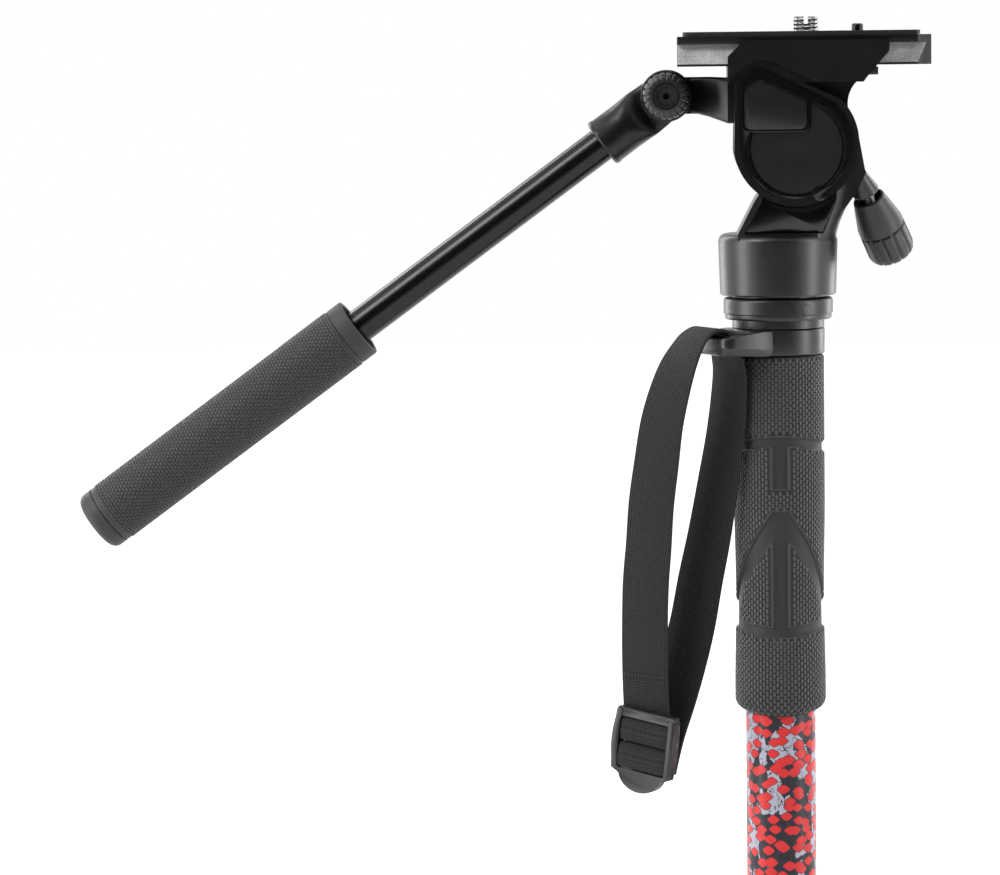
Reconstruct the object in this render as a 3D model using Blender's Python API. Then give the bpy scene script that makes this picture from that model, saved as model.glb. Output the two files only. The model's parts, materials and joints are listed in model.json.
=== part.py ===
"""Video monopod: a five-section twist-lock leg that carries a small fluid head.

Units are metres and +Z is up. The origin is the centre of the foot's flat underside, and Z is
the leg's axis. +X is the way the lens looks and the pan bar points to -X. The leg is closed.
"""

import math

import bmesh
import bpy
from mathutils import Matrix, Vector

# Driving dimensions

GAP = 0.0003  # between neighbouring pieces
RUN = 0.0003  # radial clearance of a piece that turns or slides
CUT = 0.002  # how far a cutter runs past the face that it opens
MERGE = GAP / 300  # vertices closer than this are one
FULL_TURN = 2 * math.pi
QUARTER_TURN = math.radians(90)
SHARP_EDGE = math.radians(35)

# Facets round a turned piece, by its size
FINE = 36
MEDIUM = 28
COARSE = 20
SMALL = 12
RIB_STEPS = 3  # points round one groove or rib
SCALLOP_STEPS = 4
CORNER_STEPS = 3
ROUND_STEPS = 18  # points of the round part of a cheek

# Leg
SECTIONS = 5
TUBE_OD = 0.0253  # of the upper tube
TUBE_STEP = 0.0037  # from one section's outer diameter to the next one's
TUBE_WALL = 0.0010
TUBE_STAGGER = 0.0030  # each section's top lies this far under the one that holds it
LEG_TOP = 0.4132  # top of the upper tube
FOOT_HEIGHT = 0.0320
FOOT_R = 0.0110
FOOT_SOLE_SHARE = 0.3
FOOT_WAIST_SHARE = 0.4
FOOT_HEEL_SHARE = 1.2
COLLAR_GAP = 0.0020
COLLAR_HEIGHT = 0.0262  # of the lowest collar
COLLAR_HEIGHT_STEP = 0.0009
COLLAR_WALL = 0.0030  # over its tube
COLLAR_RIBS = 14
COLLAR_RIB = 0.0008
LIP_SHARE = 0.42  # of a collar's height is below the tube's end
FERRULE_WALL = 0.0012
SHIM_WALL = 0.0011
BUSH_LENGTH = 0.0120
BUSH_SEAT_SHARE = 0.3  # of the radial room is left between the tube and its bush

# Head mount on top of the leg
NECK_R = 0.0166
NECK_BOTTOM = LEG_TOP + GAP
NECK_HEIGHT = 0.0030
NECK_TOP = NECK_BOTTOM + NECK_HEIGHT
DISC_R = 0.0197
DISC_HEIGHT = 0.0078
DISC_TOP = NECK_TOP + DISC_HEIGHT
DISC_EDGE = 0.0012
SPIGOT_LENGTH = 0.0180
STUD_R = 0.0047
STUD_LENGTH = 0.0180
SET_SCREWS = 3
SET_SCREW_R = 0.0016
SET_SCREW_LENGTH = 0.0050
SET_SCREW_PHASE_SHARE = 0.5  # of the pitch, so that one screw faces the rear

# Strap ring
RING_R = 0.0167
RING_DROP = 0.0093
RING_BOTTOM = LEG_TOP - RING_DROP
RING_HEIGHT = 0.0093
LOOP_REACH = 0.0300  # from the leg's axis to the far side of the strap bar
LOOP_BAR = 0.0044
LOOP_BAR_HEIGHT = 0.0064
LOOP_YAW = math.radians(28)  # from the left towards the front
LOOP_WIDTH = 0.0300

# Strap webbing and buckle
WEB_WIDTH = 0.0200
WEB_THICKNESS = 0.0013
STRAP_RISE = 0.0096
STRAP_TOP = RING_BOTTOM + STRAP_RISE  # of the band's centreline over the bar
STRAP_DROP = 0.1660  # from there down to the buckle's rolls
STRAP_STEPS = 2  # stations between two rows of the table
# The band's centreline as shares of the loop's reach, of the band's width and of the drop,
# with the turn of its width away from +X in degrees
STRAP_SHARES = (
    (1.567, -0.275, 1.0000, 31),
    (1.593, -0.300, 0.9247, 31),
    (1.620, -0.330, 0.8464, 31),
    (1.637, -0.390, 0.7458, 31),
    (1.633, -0.460, 0.6386, 31),
    (1.617, -0.525, 0.5500, 31),
    (1.580, -0.580, 0.4717, 32),
    (1.543, -0.640, 0.3795, 33),
    (1.477, -0.710, 0.2892, 35),
    (1.403, -0.785, 0.1994, 39),
    (1.283, -0.860, 0.1175, 45),
    (1.160, -0.890, 0.0596, 52),
    (1.040, -0.820, 0.0211, 58),
    (0.920, -0.730, 0.0018, 62),
    (0.813, -0.645, 0.0000, 62),
    (0.730, -0.580, 0.0102, 62),
    (0.673, -0.530, 0.0343, 61),
    (0.617, -0.455, 0.0669, 57),
    (0.593, -0.385, 0.1114, 53),
    (0.640, -0.330, 0.2199, 47),
    (0.740, -0.290, 0.3373, 42),
    (0.847, -0.230, 0.4500, 38),
    (0.960, -0.160, 0.5500, 35),
    (1.060, -0.100, 0.6476, 33),
    (1.183, -0.040, 0.7380, 31),
    (1.317, 0.000, 0.8223, 31),
    (1.427, 0.015, 0.9006, 31),
    (1.473, 0.005, 0.9910, 31),
)
BUCKLE_ROW = 1  # the row of the table where the buckle sits
BUCKLE_WIDTH = 0.0262
BUCKLE_HEIGHT = 0.0300
BUCKLE_THICKNESS = 0.0034
BUCKLE_SIDE = 0.0030
BUCKLE_BAR = 0.0036
BUCKLE_TAB = 0.0072
BUCKLE_TAB_SHARE = 0.55  # of the buckle's width is the end of its tab
BUCKLE_WINDOWS = 2

# Hand grip
GRIP_DROP = 0.0011
GRIP_TOP = RING_BOTTOM - GRIP_DROP
GRIP_LENGTH = 0.1280
GRIP_BOTTOM = GRIP_TOP - GRIP_LENGTH
GRIP_R = 0.0161
GRIP_GROOVE = 0.0006
GRIP_WAIST_SHARE = 0.33
GRIP_BAND_SHARES = (0.765, 0.790)
GRIP_LOW_BAND_SHARES = (0.235, 0.268)

# Pan base and housing
HOUSING_GAP = 0.0009
HOUSING_BOTTOM = DISC_TOP + HOUSING_GAP
HOUSING_HEIGHT = 0.0222
HOUSING_TOP = HOUSING_BOTTOM + HOUSING_HEIGHT
HOUSING_R = 0.0215
HOUSING_TAPER = 0.0006
HOUSING_CHAMFER = 0.0030
PAN_BASE_R = 0.0172
PAN_BASE_HEIGHT = 0.0080
SPINDLE_R = 0.0080
SPINDLE_HEIGHT = 0.0100
BEARING_R = 0.0140
BEARING_HEIGHT = 0.0030

# Arm of the pan housing
TILT_X = 0.0062
TILT_RISE = 0.0326
TILT_Z = HOUSING_TOP + TILT_RISE
ARM_HALF_WIDTH = 0.0160
WEB_HALF_WIDTH = 0.0088  # of the arm between the cheeks
WEB_R = 0.0208
ARM_FOOT_SHARE = 0.68  # of the housing's radius is the arm's left foot
ARM_HIP_SHARES = (0.93, 1.22)
ARM_TOP_SHARES = (0.904, 0.793)
ARM_WAIST_SHARES = (0.70, 0.98)
HORN_ROOT_SHARES = (0.85, 1.15)
HORN_SHARE = 0.16  # of the cheek's radius is the horn above the tilt axis
PANEL_DEPTH = 0.0035
PANEL_THICKNESS = 0.0012
PANEL_FRAME = 0.0024
PANEL_HEAD_SHARE = 0.75

# Tilt body
CHEEK_R = 0.0222
CHEEK_HALF_WIDTH = 0.0215  # to the rear cheek's face
FRONT_CHEEK_REACH = 0.0280  # to the front cheek's face, nearly flush with the bed
ARCH_RIM = 0.0022  # the bed's face steps back this far outside the front cheek
APEX_SHARES = (0.5135, 1.2387)  # of the cheek's radius, left of the tilt axis and above it
SHOULDER_SHARES = (0.9640, 0.9595)
APEX_FLAT = 0.0030
CHEEK_ARC = (44, -172)  # degrees, from the apex round the drum to the shoulder
COVER_ARC = (42, -170)
GUSSET_ARC = (140, 200)
COVER_R = 0.0194
COVER_THICKNESS = 0.0026
COVER_LIP = 0.0022
COVER_SINK = 0.0012
DISH_SHARE = 0.4
BADGE_THICKNESS = 0.0010
BADGE_CORNER = 0.0016
BADGE_PLACE_SHARES = (0.36, 0.66)
BADGE_SHARES = (
    (-0.18, 0.46),
    (-0.52, 0.24),
    (-0.55, -0.18),
    (-0.30, -0.44),
    (0.28, -0.46),
    (0.57, -0.18),
    (0.55, 0.08),
    (0.33, 0.26),
)
AXLE_R = 0.0040
AXLE_WALL = 0.0045  # of a cheek outside the axle's end
BEARING_WALL = 0.0020
BEARING_WIDTH = 0.0060
BED_HALF_WIDTH = 0.0300
BED_RISE = 0.0216
BED_BOTTOM = TILT_Z + BED_RISE
BED_BACK = 0.0240
BED_LEFT = TILT_X - BED_BACK
BED_FRONT = 0.0328
BED_RIGHT = TILT_X + BED_FRONT
BED_CHAMFER = 0.0056
BED_EDGE = 0.0015
BED_NOSE = 0.0068
BED_NOSE_BACK = 0.0091
BED_LIP = 0.0030
GUSSET_SHARE = 0.62
CHANNEL_RISE = 0.0056
CHANNEL_FLOOR = BED_BOTTOM + CHANNEL_RISE
GROOVE_ROOF = 0.0026
GROOVE_TOP = CHANNEL_FLOOR - GROOVE_ROOF

# Sliding plate
PLATE_BACK = 0.0419
PLATE_LEFT = TILT_X - PLATE_BACK
PLATE_LENGTH = 0.0900
PLATE_WIDTH = 0.0500
PLATE_BOTTOM = CHANNEL_FLOOR + GAP
PLATE_EDGE = 0.0008
PLATE_EDGE_TOP = PLATE_BOTTOM + PLATE_EDGE
FLANK_HEIGHT = 0.0078
FLANK_TOP = PLATE_BOTTOM + FLANK_HEIGHT
FLANGE_HEIGHT = 0.0028
FLANGE_TOP = FLANK_TOP + FLANGE_HEIGHT
BED_WALL_PROUD = 0.0012
BED_TOP = FLANK_TOP + BED_WALL_PROUD
PLATE_FLANK = 0.0030  # how far the flank leans in
PLATE_CORNER = 0.0070
PAD_INSET = 0.0020
PAD_THICKNESS = 0.0016
PAD_SEAT = GAP / 3
SCREW_PLACE = 0.0462
SCREW_X = PLATE_LEFT + SCREW_PLACE
SCREW_R = 0.0046
SCREW_PROUD = 0.0052
SCREW_HEAD_R = 0.0085
SCREW_HEAD = 0.0030
SLOT_SHARE = 0.18
PIN_PITCH = 0.0185
PIN_X = SCREW_X + PIN_PITCH
PIN_R = 0.0021
PIN_PROUD = 0.0026

# Plate clamp and release button
JAW_DEPTH = 0.0026
JAW_TRAVEL = 0.0008
JAW_LENGTH = 0.0400
PLATE_KNOB_R = 0.0075
PLATE_KNOB_LENGTH = 0.0130
PLATE_SCREW_R = 0.0025
BUTTON_INSET = 0.0028
BUTTON_RIGHT = BED_RIGHT - BUTTON_INSET
BUTTON_LENGTH = 0.0036
BUTTON_LEFT = BUTTON_RIGHT - BUTTON_LENGTH
BUTTON_HALF = 0.0050
BUTTON_ROOF = 0.0004
BUTTON_TOP = CHANNEL_FLOOR - BUTTON_ROOF
BUTTON_RISE = 0.0023
BUTTON_BOTTOM = BED_BOTTOM + BUTTON_RISE
BUTTON_TRAVEL = 0.0015

# Pan bar
PIVOT_REACH = 0.0459
PIVOT_X = TILT_X - PIVOT_REACH
PIVOT_RISE = 0.0171
PIVOT_Z = TILT_Z + PIVOT_RISE
EYE_R = 0.0093
EYE_WIDTH = 0.0088
EYE_GAP = 0.00015  # from the middle plane to each eye
NECK_HALF = 0.0066
NECK_FLARE = 0.0040
NECK_ROOT_DROP = 0.0100
NECK_ROOT_SHARE = 0.80
ROOT_HALF = 0.0130
ROSETTE = 0.0008
ROSETTE_TEETH = 24
BAR_SLOPE = math.radians(36.3)  # below horizontal
SOCKET_LENGTH = 0.0290
SOCKET_R = 0.0090
SOCKET_COLLAR_SHARE = 0.78
SOCKET_WAIST_SHARE = 0.86
SOCKET_BRIDGE_SHARE = 0.90
BAR_R = 0.00625
BAR_GRIP_START = 0.1387
BAR_GRIP_LENGTH = 0.1203
BAR_GRIP_R = 0.0124
BAR_GRIP_COLLAR_R = 0.01105
BAR_GRIP_COLLAR = 0.0063
GRIP_MOUTH_SHARE = 0.6
KNOB_R = 0.0084
KNOB_HEIGHT = 0.0066
KNOB_SCALLOPS = 14
KNOB_SCALLOP = 0.0008
KNOB_RING_SHARE = 0.57
BOLT_R = 0.0030

# Tilt lock knob
LOCK_REACH = 0.0263
LOCK_X = TILT_X + LOCK_REACH
LOCK_DROP = 0.0200
LOCK_Z = TILT_Z - LOCK_DROP
LOCK_LEAN = math.radians(24.4)  # from vertical, towards +X
LOCK_YAW = math.radians(27.0)  # away to +Y
LOCK_BOSS_R = 0.0049
LOCK_BOSS_LENGTH = 0.0100
LOCK_SHANK = 0.0020  # the screw's bare shank between the boss and the knob's mouth
LOCK_BORE_SHARE = 0.8
LOCK_SHAFT_R = 0.0022
LOCK_LENGTH = 0.0266
LOCK_CORE_SHARE = 0.3
LOCK_SHOULDER_SHARE = 0.55
LOCK_MOUTH_R = 0.00585
LOCK_R = 0.0086
LOCK_FLUTES = 12
LOCK_FLUTE = 0.0007
LOCK_GAP = 0.0003


# Modelling helpers


def clear_scene():
    for item in list(bpy.data.objects):
        bpy.data.objects.remove(item, do_unlink=True)


def material(name, colour, roughness, metallic=0.0):
    made = bpy.data.materials.new(name)
    made.use_nodes = True
    shader = made.node_tree.nodes["Principled BSDF"]
    shader.inputs["Base Color"].default_value = (*colour, 1)
    shader.inputs["Roughness"].default_value = roughness
    shader.inputs["Metallic"].default_value = metallic
    return made


def place(name, bm, finish, at=(0, 0, 0), turn=None):
    """Turns a bmesh into an object whose origin is at `at` and whose axes are turned by `turn`."""
    bmesh.ops.remove_doubles(bm, verts=bm.verts, dist=MERGE)
    bmesh.ops.recalc_face_normals(bm, faces=bm.faces)
    mesh = bpy.data.meshes.new(name)
    bm.to_mesh(mesh)
    bm.free()
    mesh.shade_smooth()
    mesh.set_sharp_from_angle(angle=SHARP_EDGE)
    mesh.materials.append(finish)
    made = bpy.data.objects.new(name, mesh)
    bpy.context.scene.collection.objects.link(made)
    if turn is not None:
        made.rotation_euler = turn.to_euler()
    made.location = at
    return made


def spun(profile, sides):
    """A solid of revolution about Z from a closed (radius, height) profile."""
    bm = bmesh.new()
    verts = [bm.verts.new((r, 0, z)) for r, z in profile]
    edges = [bm.edges.new((verts[i], verts[(i + 1) % len(verts)])) for i in range(len(verts))]
    on_axis = [e for e in edges if all(v.co.x == 0 for v in e.verts)]
    for edge in on_axis:
        bm.edges.remove(edge)
        edges.remove(edge)
    bmesh.ops.spin(bm, geom=verts + edges, cent=(0, 0, 0), axis=(0, 0, 1), angle=FULL_TURN, steps=sides)
    return bm


def turned(name, profile, finish, at=(0, 0, 0), turn=None, sides=COARSE):
    return place(name, spun(profile, sides), finish, at, turn)


def prism(outline, low, high):
    """A solid between two planes square to Y, from an (x, z) outline."""
    bm = bmesh.new()
    face = bm.faces.new([bm.verts.new((x, low, z)) for x, z in outline])
    grown = bmesh.ops.extrude_face_region(bm, geom=[face])
    moved = [v for v in grown["geom"] if isinstance(v, bmesh.types.BMVert)]
    bmesh.ops.translate(bm, verts=moved, vec=(0, high - low, 0))
    return bm


def extruded(name, outline, low, high, finish, at=(0, 0, 0), turn=None):
    return place(name, prism(outline, low, high), finish, at, turn)


def block(low, high):
    outline = [(low[0], low[2]), (high[0], low[2]), (high[0], high[2]), (low[0], high[2])]
    return prism(outline, low[1], high[1])


def operate(piece, other, operation):
    """A live Boolean with a hidden second shape."""
    other.hide_render = True
    other.display_type = "WIRE"
    modifier = piece.modifiers.new(other.name, "BOOLEAN")
    modifier.operation = operation
    modifier.solver = "EXACT"
    modifier.object = other
    return piece


def cut(piece, other):
    return operate(piece, other, "DIFFERENCE")


def fuse(piece, other):
    return operate(piece, other, "UNION")


def arc(centre, radius, start, end, steps):
    """Points of an (x, z) arc, with both ends; angles in degrees from +X towards +Z."""
    found = []
    for i in range(steps + 1):
        angle = math.radians(start + (end - start) * i / steps)
        found.append((centre[0] + radius * math.cos(angle), centre[1] + radius * math.sin(angle)))
    return found


def rounded(corners, radius, steps=CORNER_STEPS):
    """The outline with each corner cut by a short arc."""
    found = []
    count = len(corners)
    for i, corner in enumerate(corners):
        here = Vector(corner)
        back = (Vector(corners[i - 1]) - here).normalized()
        ahead = (Vector(corners[(i + 1) % count]) - here).normalized()
        half = back.angle(ahead) / 2
        reach = radius / math.tan(half)
        centre = here + (back + ahead).normalized() * (radius / math.sin(half))
        first = here + back * reach - centre
        last = here + ahead * reach - centre
        for step in range(steps + 1):
            share = step / steps
            spoke = first.lerp(last, share).normalized() * radius
            found.append(tuple(centre + spoke))
    return found


def ring_profile(inner, outer, bottom, top, edge=0.0):
    """Profile of a tube; its outer edges are broken by `edge`."""
    if edge == 0:
        return [(outer, top), (outer, bottom), (inner, bottom), (inner, top)]
    return [
        (outer - edge, top),
        (outer, top - edge),
        (outer, bottom + edge),
        (outer - edge, bottom),
        (inner, bottom),
        (inner, top),
    ]


def rod_profile(radius, bottom, top, edge=0.0):
    if edge == 0:
        return [(0, top), (radius, top), (radius, bottom), (0, bottom)]
    return [
        (0, top),
        (radius - edge, top),
        (radius, top - edge),
        (radius, bottom + edge),
        (radius - edge, bottom),
        (0, bottom),
    ]


def scalloped(radius, depth, count, bottom, top, edge, steps):
    """A rod about Z with `count` round-bottomed grooves down its side."""
    bm = bmesh.new()
    rings = []
    for height, trim in ((bottom, edge), (bottom + edge, 0), (top - edge, 0), (top, edge)):
        ring = []
        for i in range(count * steps):
            angle = FULL_TURN * i / (count * steps)
            wave = max(0.0, math.cos(count * angle))
            reach = radius - trim - depth * wave
            ring.append(bm.verts.new((reach * math.cos(angle), reach * math.sin(angle), height)))
        rings.append(ring)
    join_rings(bm, rings)
    return bm


def join_rings(bm, rings):
    """Walls between neighbouring rings of vertices, and a cap on each end."""
    for before, after in zip(rings, rings[1:]):
        for i in range(len(before)):
            n = (i + 1) % len(before)
            bm.faces.new((before[i], before[n], after[n], after[i]))
    bm.faces.new(rings[0][::-1])
    bm.faces.new(rings[-1])


def along(direction):
    """The turn that carries Z onto a direction."""
    return Vector(direction).to_track_quat("Z", "Y").to_matrix()


# Turns a piece that is modelled about Z onto the tilt axis; its top faces -Y
ACROSS = Matrix.Rotation(QUARTER_TURN, 3, "X")


clear_scene()

# Finishes

CASTING = material("satin_casting", (0.045, 0.045, 0.047), 0.45, 0.3)
TILT_BLACK = material("black_casting", (0.012, 0.012, 0.013), 0.4, 0.3)
GLOSS = material("gloss_plastic", (0.012, 0.012, 0.012), 0.12)
RUBBER = material("grip_rubber", (0.06, 0.06, 0.062), 0.7)
WEBBING = material("webbing", (0.015, 0.015, 0.016), 0.9)
PLASTIC = material("dark_plastic", (0.03, 0.03, 0.032), 0.5)
PRINTED = material("printed_tube", (0.8, 0.06, 0.06), 0.25)
TUBE = material("black_anodised", (0.02, 0.02, 0.021), 0.35, 0.5)
STEEL = material("bright_steel", (0.7, 0.7, 0.71), 0.25, 1.0)
BLASTED = material("blasted_alloy", (0.25, 0.25, 0.26), 0.6, 0.6)
NYLON = material("natural_nylon", (0.6, 0.6, 0.57), 0.5)


# Leg


def tube_r(section):
    return (TUBE_OD - TUBE_STEP * (section - 1)) / 2


def bore_r(section):
    return tube_r(section) - TUBE_WALL


def collar_height(section):
    return COLLAR_HEIGHT + COLLAR_HEIGHT_STEP * (SECTIONS - 1 - section)


def collar_bottom(section):
    bottom = FOOT_HEIGHT + COLLAR_GAP
    for lower in range(section + 1, SECTIONS):
        bottom += collar_height(lower) + COLLAR_GAP
    return bottom


def collar_top(section):
    return collar_bottom(section) + collar_height(section)


def collar_r(section):
    return tube_r(section) + COLLAR_WALL


def tube_bottom(section):
    """A section ends inside its own collar; the last one ends in the foot."""
    if section == SECTIONS:
        return FOOT_HEIGHT / 2
    return collar_bottom(section) + collar_height(section) * LIP_SHARE


def tube_top(section):
    if section == 1:
        return LEG_TOP
    return LEG_TOP - SPIGOT_LENGTH - TUBE_STAGGER * (section - 1)


def leg_tube(section):
    name = "upper_tube" if section == 1 else f"leg_section_{section}"
    profile = ring_profile(bore_r(section), tube_r(section), tube_bottom(section), tube_top(section))
    turned(name, profile, PRINTED if section == 1 else TUBE)


def lock_ferrule(section):
    """The threaded bush bonded round the lower end of a section."""
    inner = tube_r(section) + GAP
    outer = inner + FERRULE_WALL
    bottom = tube_bottom(section)
    top = collar_top(section) - FERRULE_WALL - GAP
    turned(f"lock_ferrule_{section}", ring_profile(inner, outer, bottom, top), PLASTIC)


def lock_collar(section):
    """The twist collar: a ribbed nut over the ferrule, with a lip that squeezes the shim."""
    outer = collar_r(section)
    bottom = collar_bottom(section)
    top = collar_top(section)
    lip = tube_bottom(section) - GAP
    throat = tube_r(section + 1) + GAP + SHIM_WALL + RUN
    cavity = tube_r(section) + GAP + FERRULE_WALL + RUN
    collar = place(
        f"lock_collar_{section}",
        scalloped(outer, COLLAR_RIB, COLLAR_RIBS, bottom, top, COLLAR_RIB, steps=RIB_STEPS),
        RUBBER,
    )
    bore = [
        (0, top + CUT),
        (tube_r(section) + RUN, top + CUT),
        (tube_r(section) + RUN, top - FERRULE_WALL),
        (cavity, top - FERRULE_WALL),
        (cavity, lip),
        (throat, lip),
        (throat, bottom + SHIM_WALL),
        (tube_r(section + 1) + RUN, bottom + SHIM_WALL),
        (tube_r(section + 1) + RUN, bottom - CUT),
        (0, bottom - CUT),
    ]
    cut(collar, turned(f"lock_collar_{section}_bore", bore, RUBBER))


def lock_shim(section):
    """The clamping sleeve between a collar's lip and the next section."""
    inner = tube_r(section + 1) + GAP
    bottom = collar_bottom(section) + SHIM_WALL + GAP
    top = tube_bottom(section) - GAP - GAP
    turned(f"lock_shim_{section}", ring_profile(inner, inner + SHIM_WALL, bottom, top), NYLON)


def guide_bush(section):
    """The sliding bush on the upper end of an inner section, with a rim over the tube's end."""
    top = tube_top(section) + GAP + TUBE_WALL
    under = tube_top(section) - BUSH_LENGTH
    outer = bore_r(section - 1) - RUN
    inner = tube_r(section) + (outer - tube_r(section)) * BUSH_SEAT_SHARE
    profile = [
        (outer, top),
        (outer, under),
        (inner, under),
        (inner, tube_top(section) + GAP),
        (bore_r(section), tube_top(section) + GAP),
        (bore_r(section), top),
    ]
    turned(f"guide_bush_{section}", profile, NYLON)


def foot():
    """The rubber foot on its plug, which closes the last section."""
    seat = tube_bottom(SECTIONS)
    outer = tube_r(SECTIONS)
    floor = FOOT_HEIGHT * FOOT_SOLE_SHARE
    bore = outer + GAP
    profile = [
        (bore, FOOT_HEIGHT - GAP),
        (FOOT_R - TUBE_WALL, FOOT_HEIGHT - GAP),
        (FOOT_R, FOOT_HEIGHT - GAP - TUBE_WALL),
        (FOOT_R, FOOT_HEIGHT * FOOT_WAIST_SHARE),
        (FOOT_R * FOOT_HEEL_SHARE, TUBE_WALL),
        (FOOT_R * FOOT_HEEL_SHARE - TUBE_WALL, 0),
        (0, 0),
        (0, floor),
        (bore, floor),
    ]
    turned("rubber_foot", profile, RUBBER)
    stem = bore_r(SECTIONS) - GAP
    plug = [
        (0, seat + BUSH_LENGTH),
        (stem, seat + BUSH_LENGTH),
        (stem, seat - GAP),
        (outer, seat - GAP),
        (outer, floor + GAP),
        (0, floor + GAP),
    ]
    turned("foot_plug", plug, PLASTIC)


def leg():
    for section in range(1, SECTIONS + 1):
        leg_tube(section)
    for section in range(1, SECTIONS):
        lock_ferrule(section)
        lock_collar(section)
        lock_shim(section)
        guide_bush(section + 1)
    foot()


# Head mount


def head_mount():
    """The disc that carries the head, with its neck and the spigot inside the upper tube."""
    spigot = bore_r(1) - GAP
    bore = STUD_R + GAP
    profile = [
        (bore, DISC_TOP),
        (DISC_R - DISC_EDGE / 2, DISC_TOP),
        (DISC_R, DISC_TOP - DISC_EDGE / 2),
        (DISC_R, NECK_TOP + DISC_EDGE),
        (DISC_R - DISC_EDGE, NECK_TOP),
        (NECK_R, NECK_TOP),
        (NECK_R, NECK_BOTTOM),
        (spigot, NECK_BOTTOM),
        (spigot, LEG_TOP - SPIGOT_LENGTH + GAP + CUT),
        (bore, LEG_TOP - SPIGOT_LENGTH + GAP + CUT),
    ]
    mount = turned("head_mount", profile, CASTING, sides=MEDIUM)
    middle = (NECK_TOP + DISC_TOP) / 2
    for i in range(SET_SCREWS):
        angle = FULL_TURN * (i + SET_SCREW_PHASE_SHARE) / SET_SCREWS
        outward = (math.cos(angle), math.sin(angle), 0)
        start = Vector(outward) * (DISC_R - GAP - SET_SCREW_LENGTH)
        screw = rod_profile(SET_SCREW_R, 0, SET_SCREW_LENGTH, GAP)
        at = start + Vector((0, 0, middle))
        turned(f"set_screw_{i + 1}", screw, STEEL, at, along(outward), SMALL)
        hole = rod_profile(SET_SCREW_R + GAP, -GAP, SET_SCREW_LENGTH + CUT)
        cut(mount, turned(f"set_screw_hole_{i + 1}", hole, STEEL, at, along(outward), SMALL))
    low = DISC_TOP - STUD_LENGTH / 2
    stud = rod_profile(STUD_R, low, low + STUD_LENGTH, GAP)
    turned("attachment_stud", stud, STEEL, sides=COARSE)


# Strap ring, webbing and buckle


def strap_ring():
    """The ring round the tube, whose arms reach out to the bar that carries the strap."""
    bore = tube_r(1) + GAP
    top = RING_BOTTOM + RING_HEIGHT
    profile = ring_profile(bore, RING_R, RING_BOTTOM, top, GAP)
    ring = turned("strap_ring", profile, CASTING, sides=MEDIUM)
    arm = bmesh.new()
    half = LOOP_WIDTH / 2
    bar_low = RING_BOTTOM + GAP * 2
    bar_high = bar_low + LOOP_BAR_HEIGHT
    turn = Matrix.Rotation(LOOP_YAW, 3, "Z")
    inner = -bore - RUN - WEB_THICKNESS
    sections = (
        (-LOOP_REACH, half - LOOP_BAR / 2, bar_low, bar_high),
        (-LOOP_REACH + LOOP_BAR / 2, half, bar_low, bar_high),
        (inner, half, RING_BOTTOM, top - GAP),
        (inner / 2, half - CUT, RING_BOTTOM, top - GAP),
    )
    rings = []
    for x, y, low, high in sections:
        corners = ((x, -y, low), (x, y, low), (x, y, high), (x, -y, high))
        rings.append([arm.verts.new(corner) for corner in corners])
    join_rings(arm, rings)
    fuse(ring, place("strap_ring_arms", arm, CASTING, turn=turn))
    slot = (-LOOP_REACH + LOOP_BAR, -(WEB_WIDTH / 2 + GAP * 3), RING_BOTTOM - CUT)
    slot_end = (-RING_R - GAP / 2, WEB_WIDTH / 2 + GAP * 3, top + CUT)
    cut(ring, place("strap_ring_slot", block(slot, slot_end), CASTING, turn=turn))
    centre = rod_profile(bore, RING_BOTTOM - CUT, top + CUT)
    cut(ring, turned("strap_ring_bore", centre, CASTING, sides=MEDIUM))


def strap_route():
    """The rows of the strap's table as points with the turn of the width, in metres and radians."""
    found = []
    for back, aside, fallen, turn in STRAP_SHARES:
        at = (-LOOP_REACH * back, WEB_WIDTH * aside, STRAP_TOP - STRAP_DROP * fallen)
        found.append(Vector((*at, math.radians(turn))))
    return found


def smooth_route(route, fine):
    """Catmull-Rom through the route's points."""
    found = []
    last = len(route) - 1
    for i in range(last):
        before, here, after, beyond = (route[max(0, min(last, i + k))] for k in (-1, 0, 1, 2))
        for step in range(fine):
            share = step / fine
            slope = (after - before) * share
            bend = (before * 2 - here * 5 + after * 4 - beyond) * share**2
            twist = (here * 3 - before - after * 3 + beyond) * share**3
            found.append((here * 2 + slope + bend + twist) / 2)
    found.append(route[last])
    return found


def strap_webbing():
    """One band of webbing: up the front strand, over the bar and down the rear strand."""
    stations = smooth_route(strap_route(), STRAP_STEPS)
    last = len(stations) - 1
    bm = bmesh.new()
    rings = []
    for i, station in enumerate(stations):
        ahead = (stations[min(i + 1, last)].xyz - stations[max(i - 1, 0)].xyz).normalized()
        across = Vector((math.cos(station.w), -math.sin(station.w), 0))
        across = (across - ahead * across.dot(ahead)).normalized() * WEB_WIDTH / 2
        out = across.cross(ahead).normalized() * WEB_THICKNESS / 2
        corners = (-across - out, across - out, across + out, -across + out)
        rings.append([bm.verts.new(station.xyz + corner) for corner in corners])
    join_rings(bm, rings)
    place("strap_webbing", bm, WEBBING)


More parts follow.
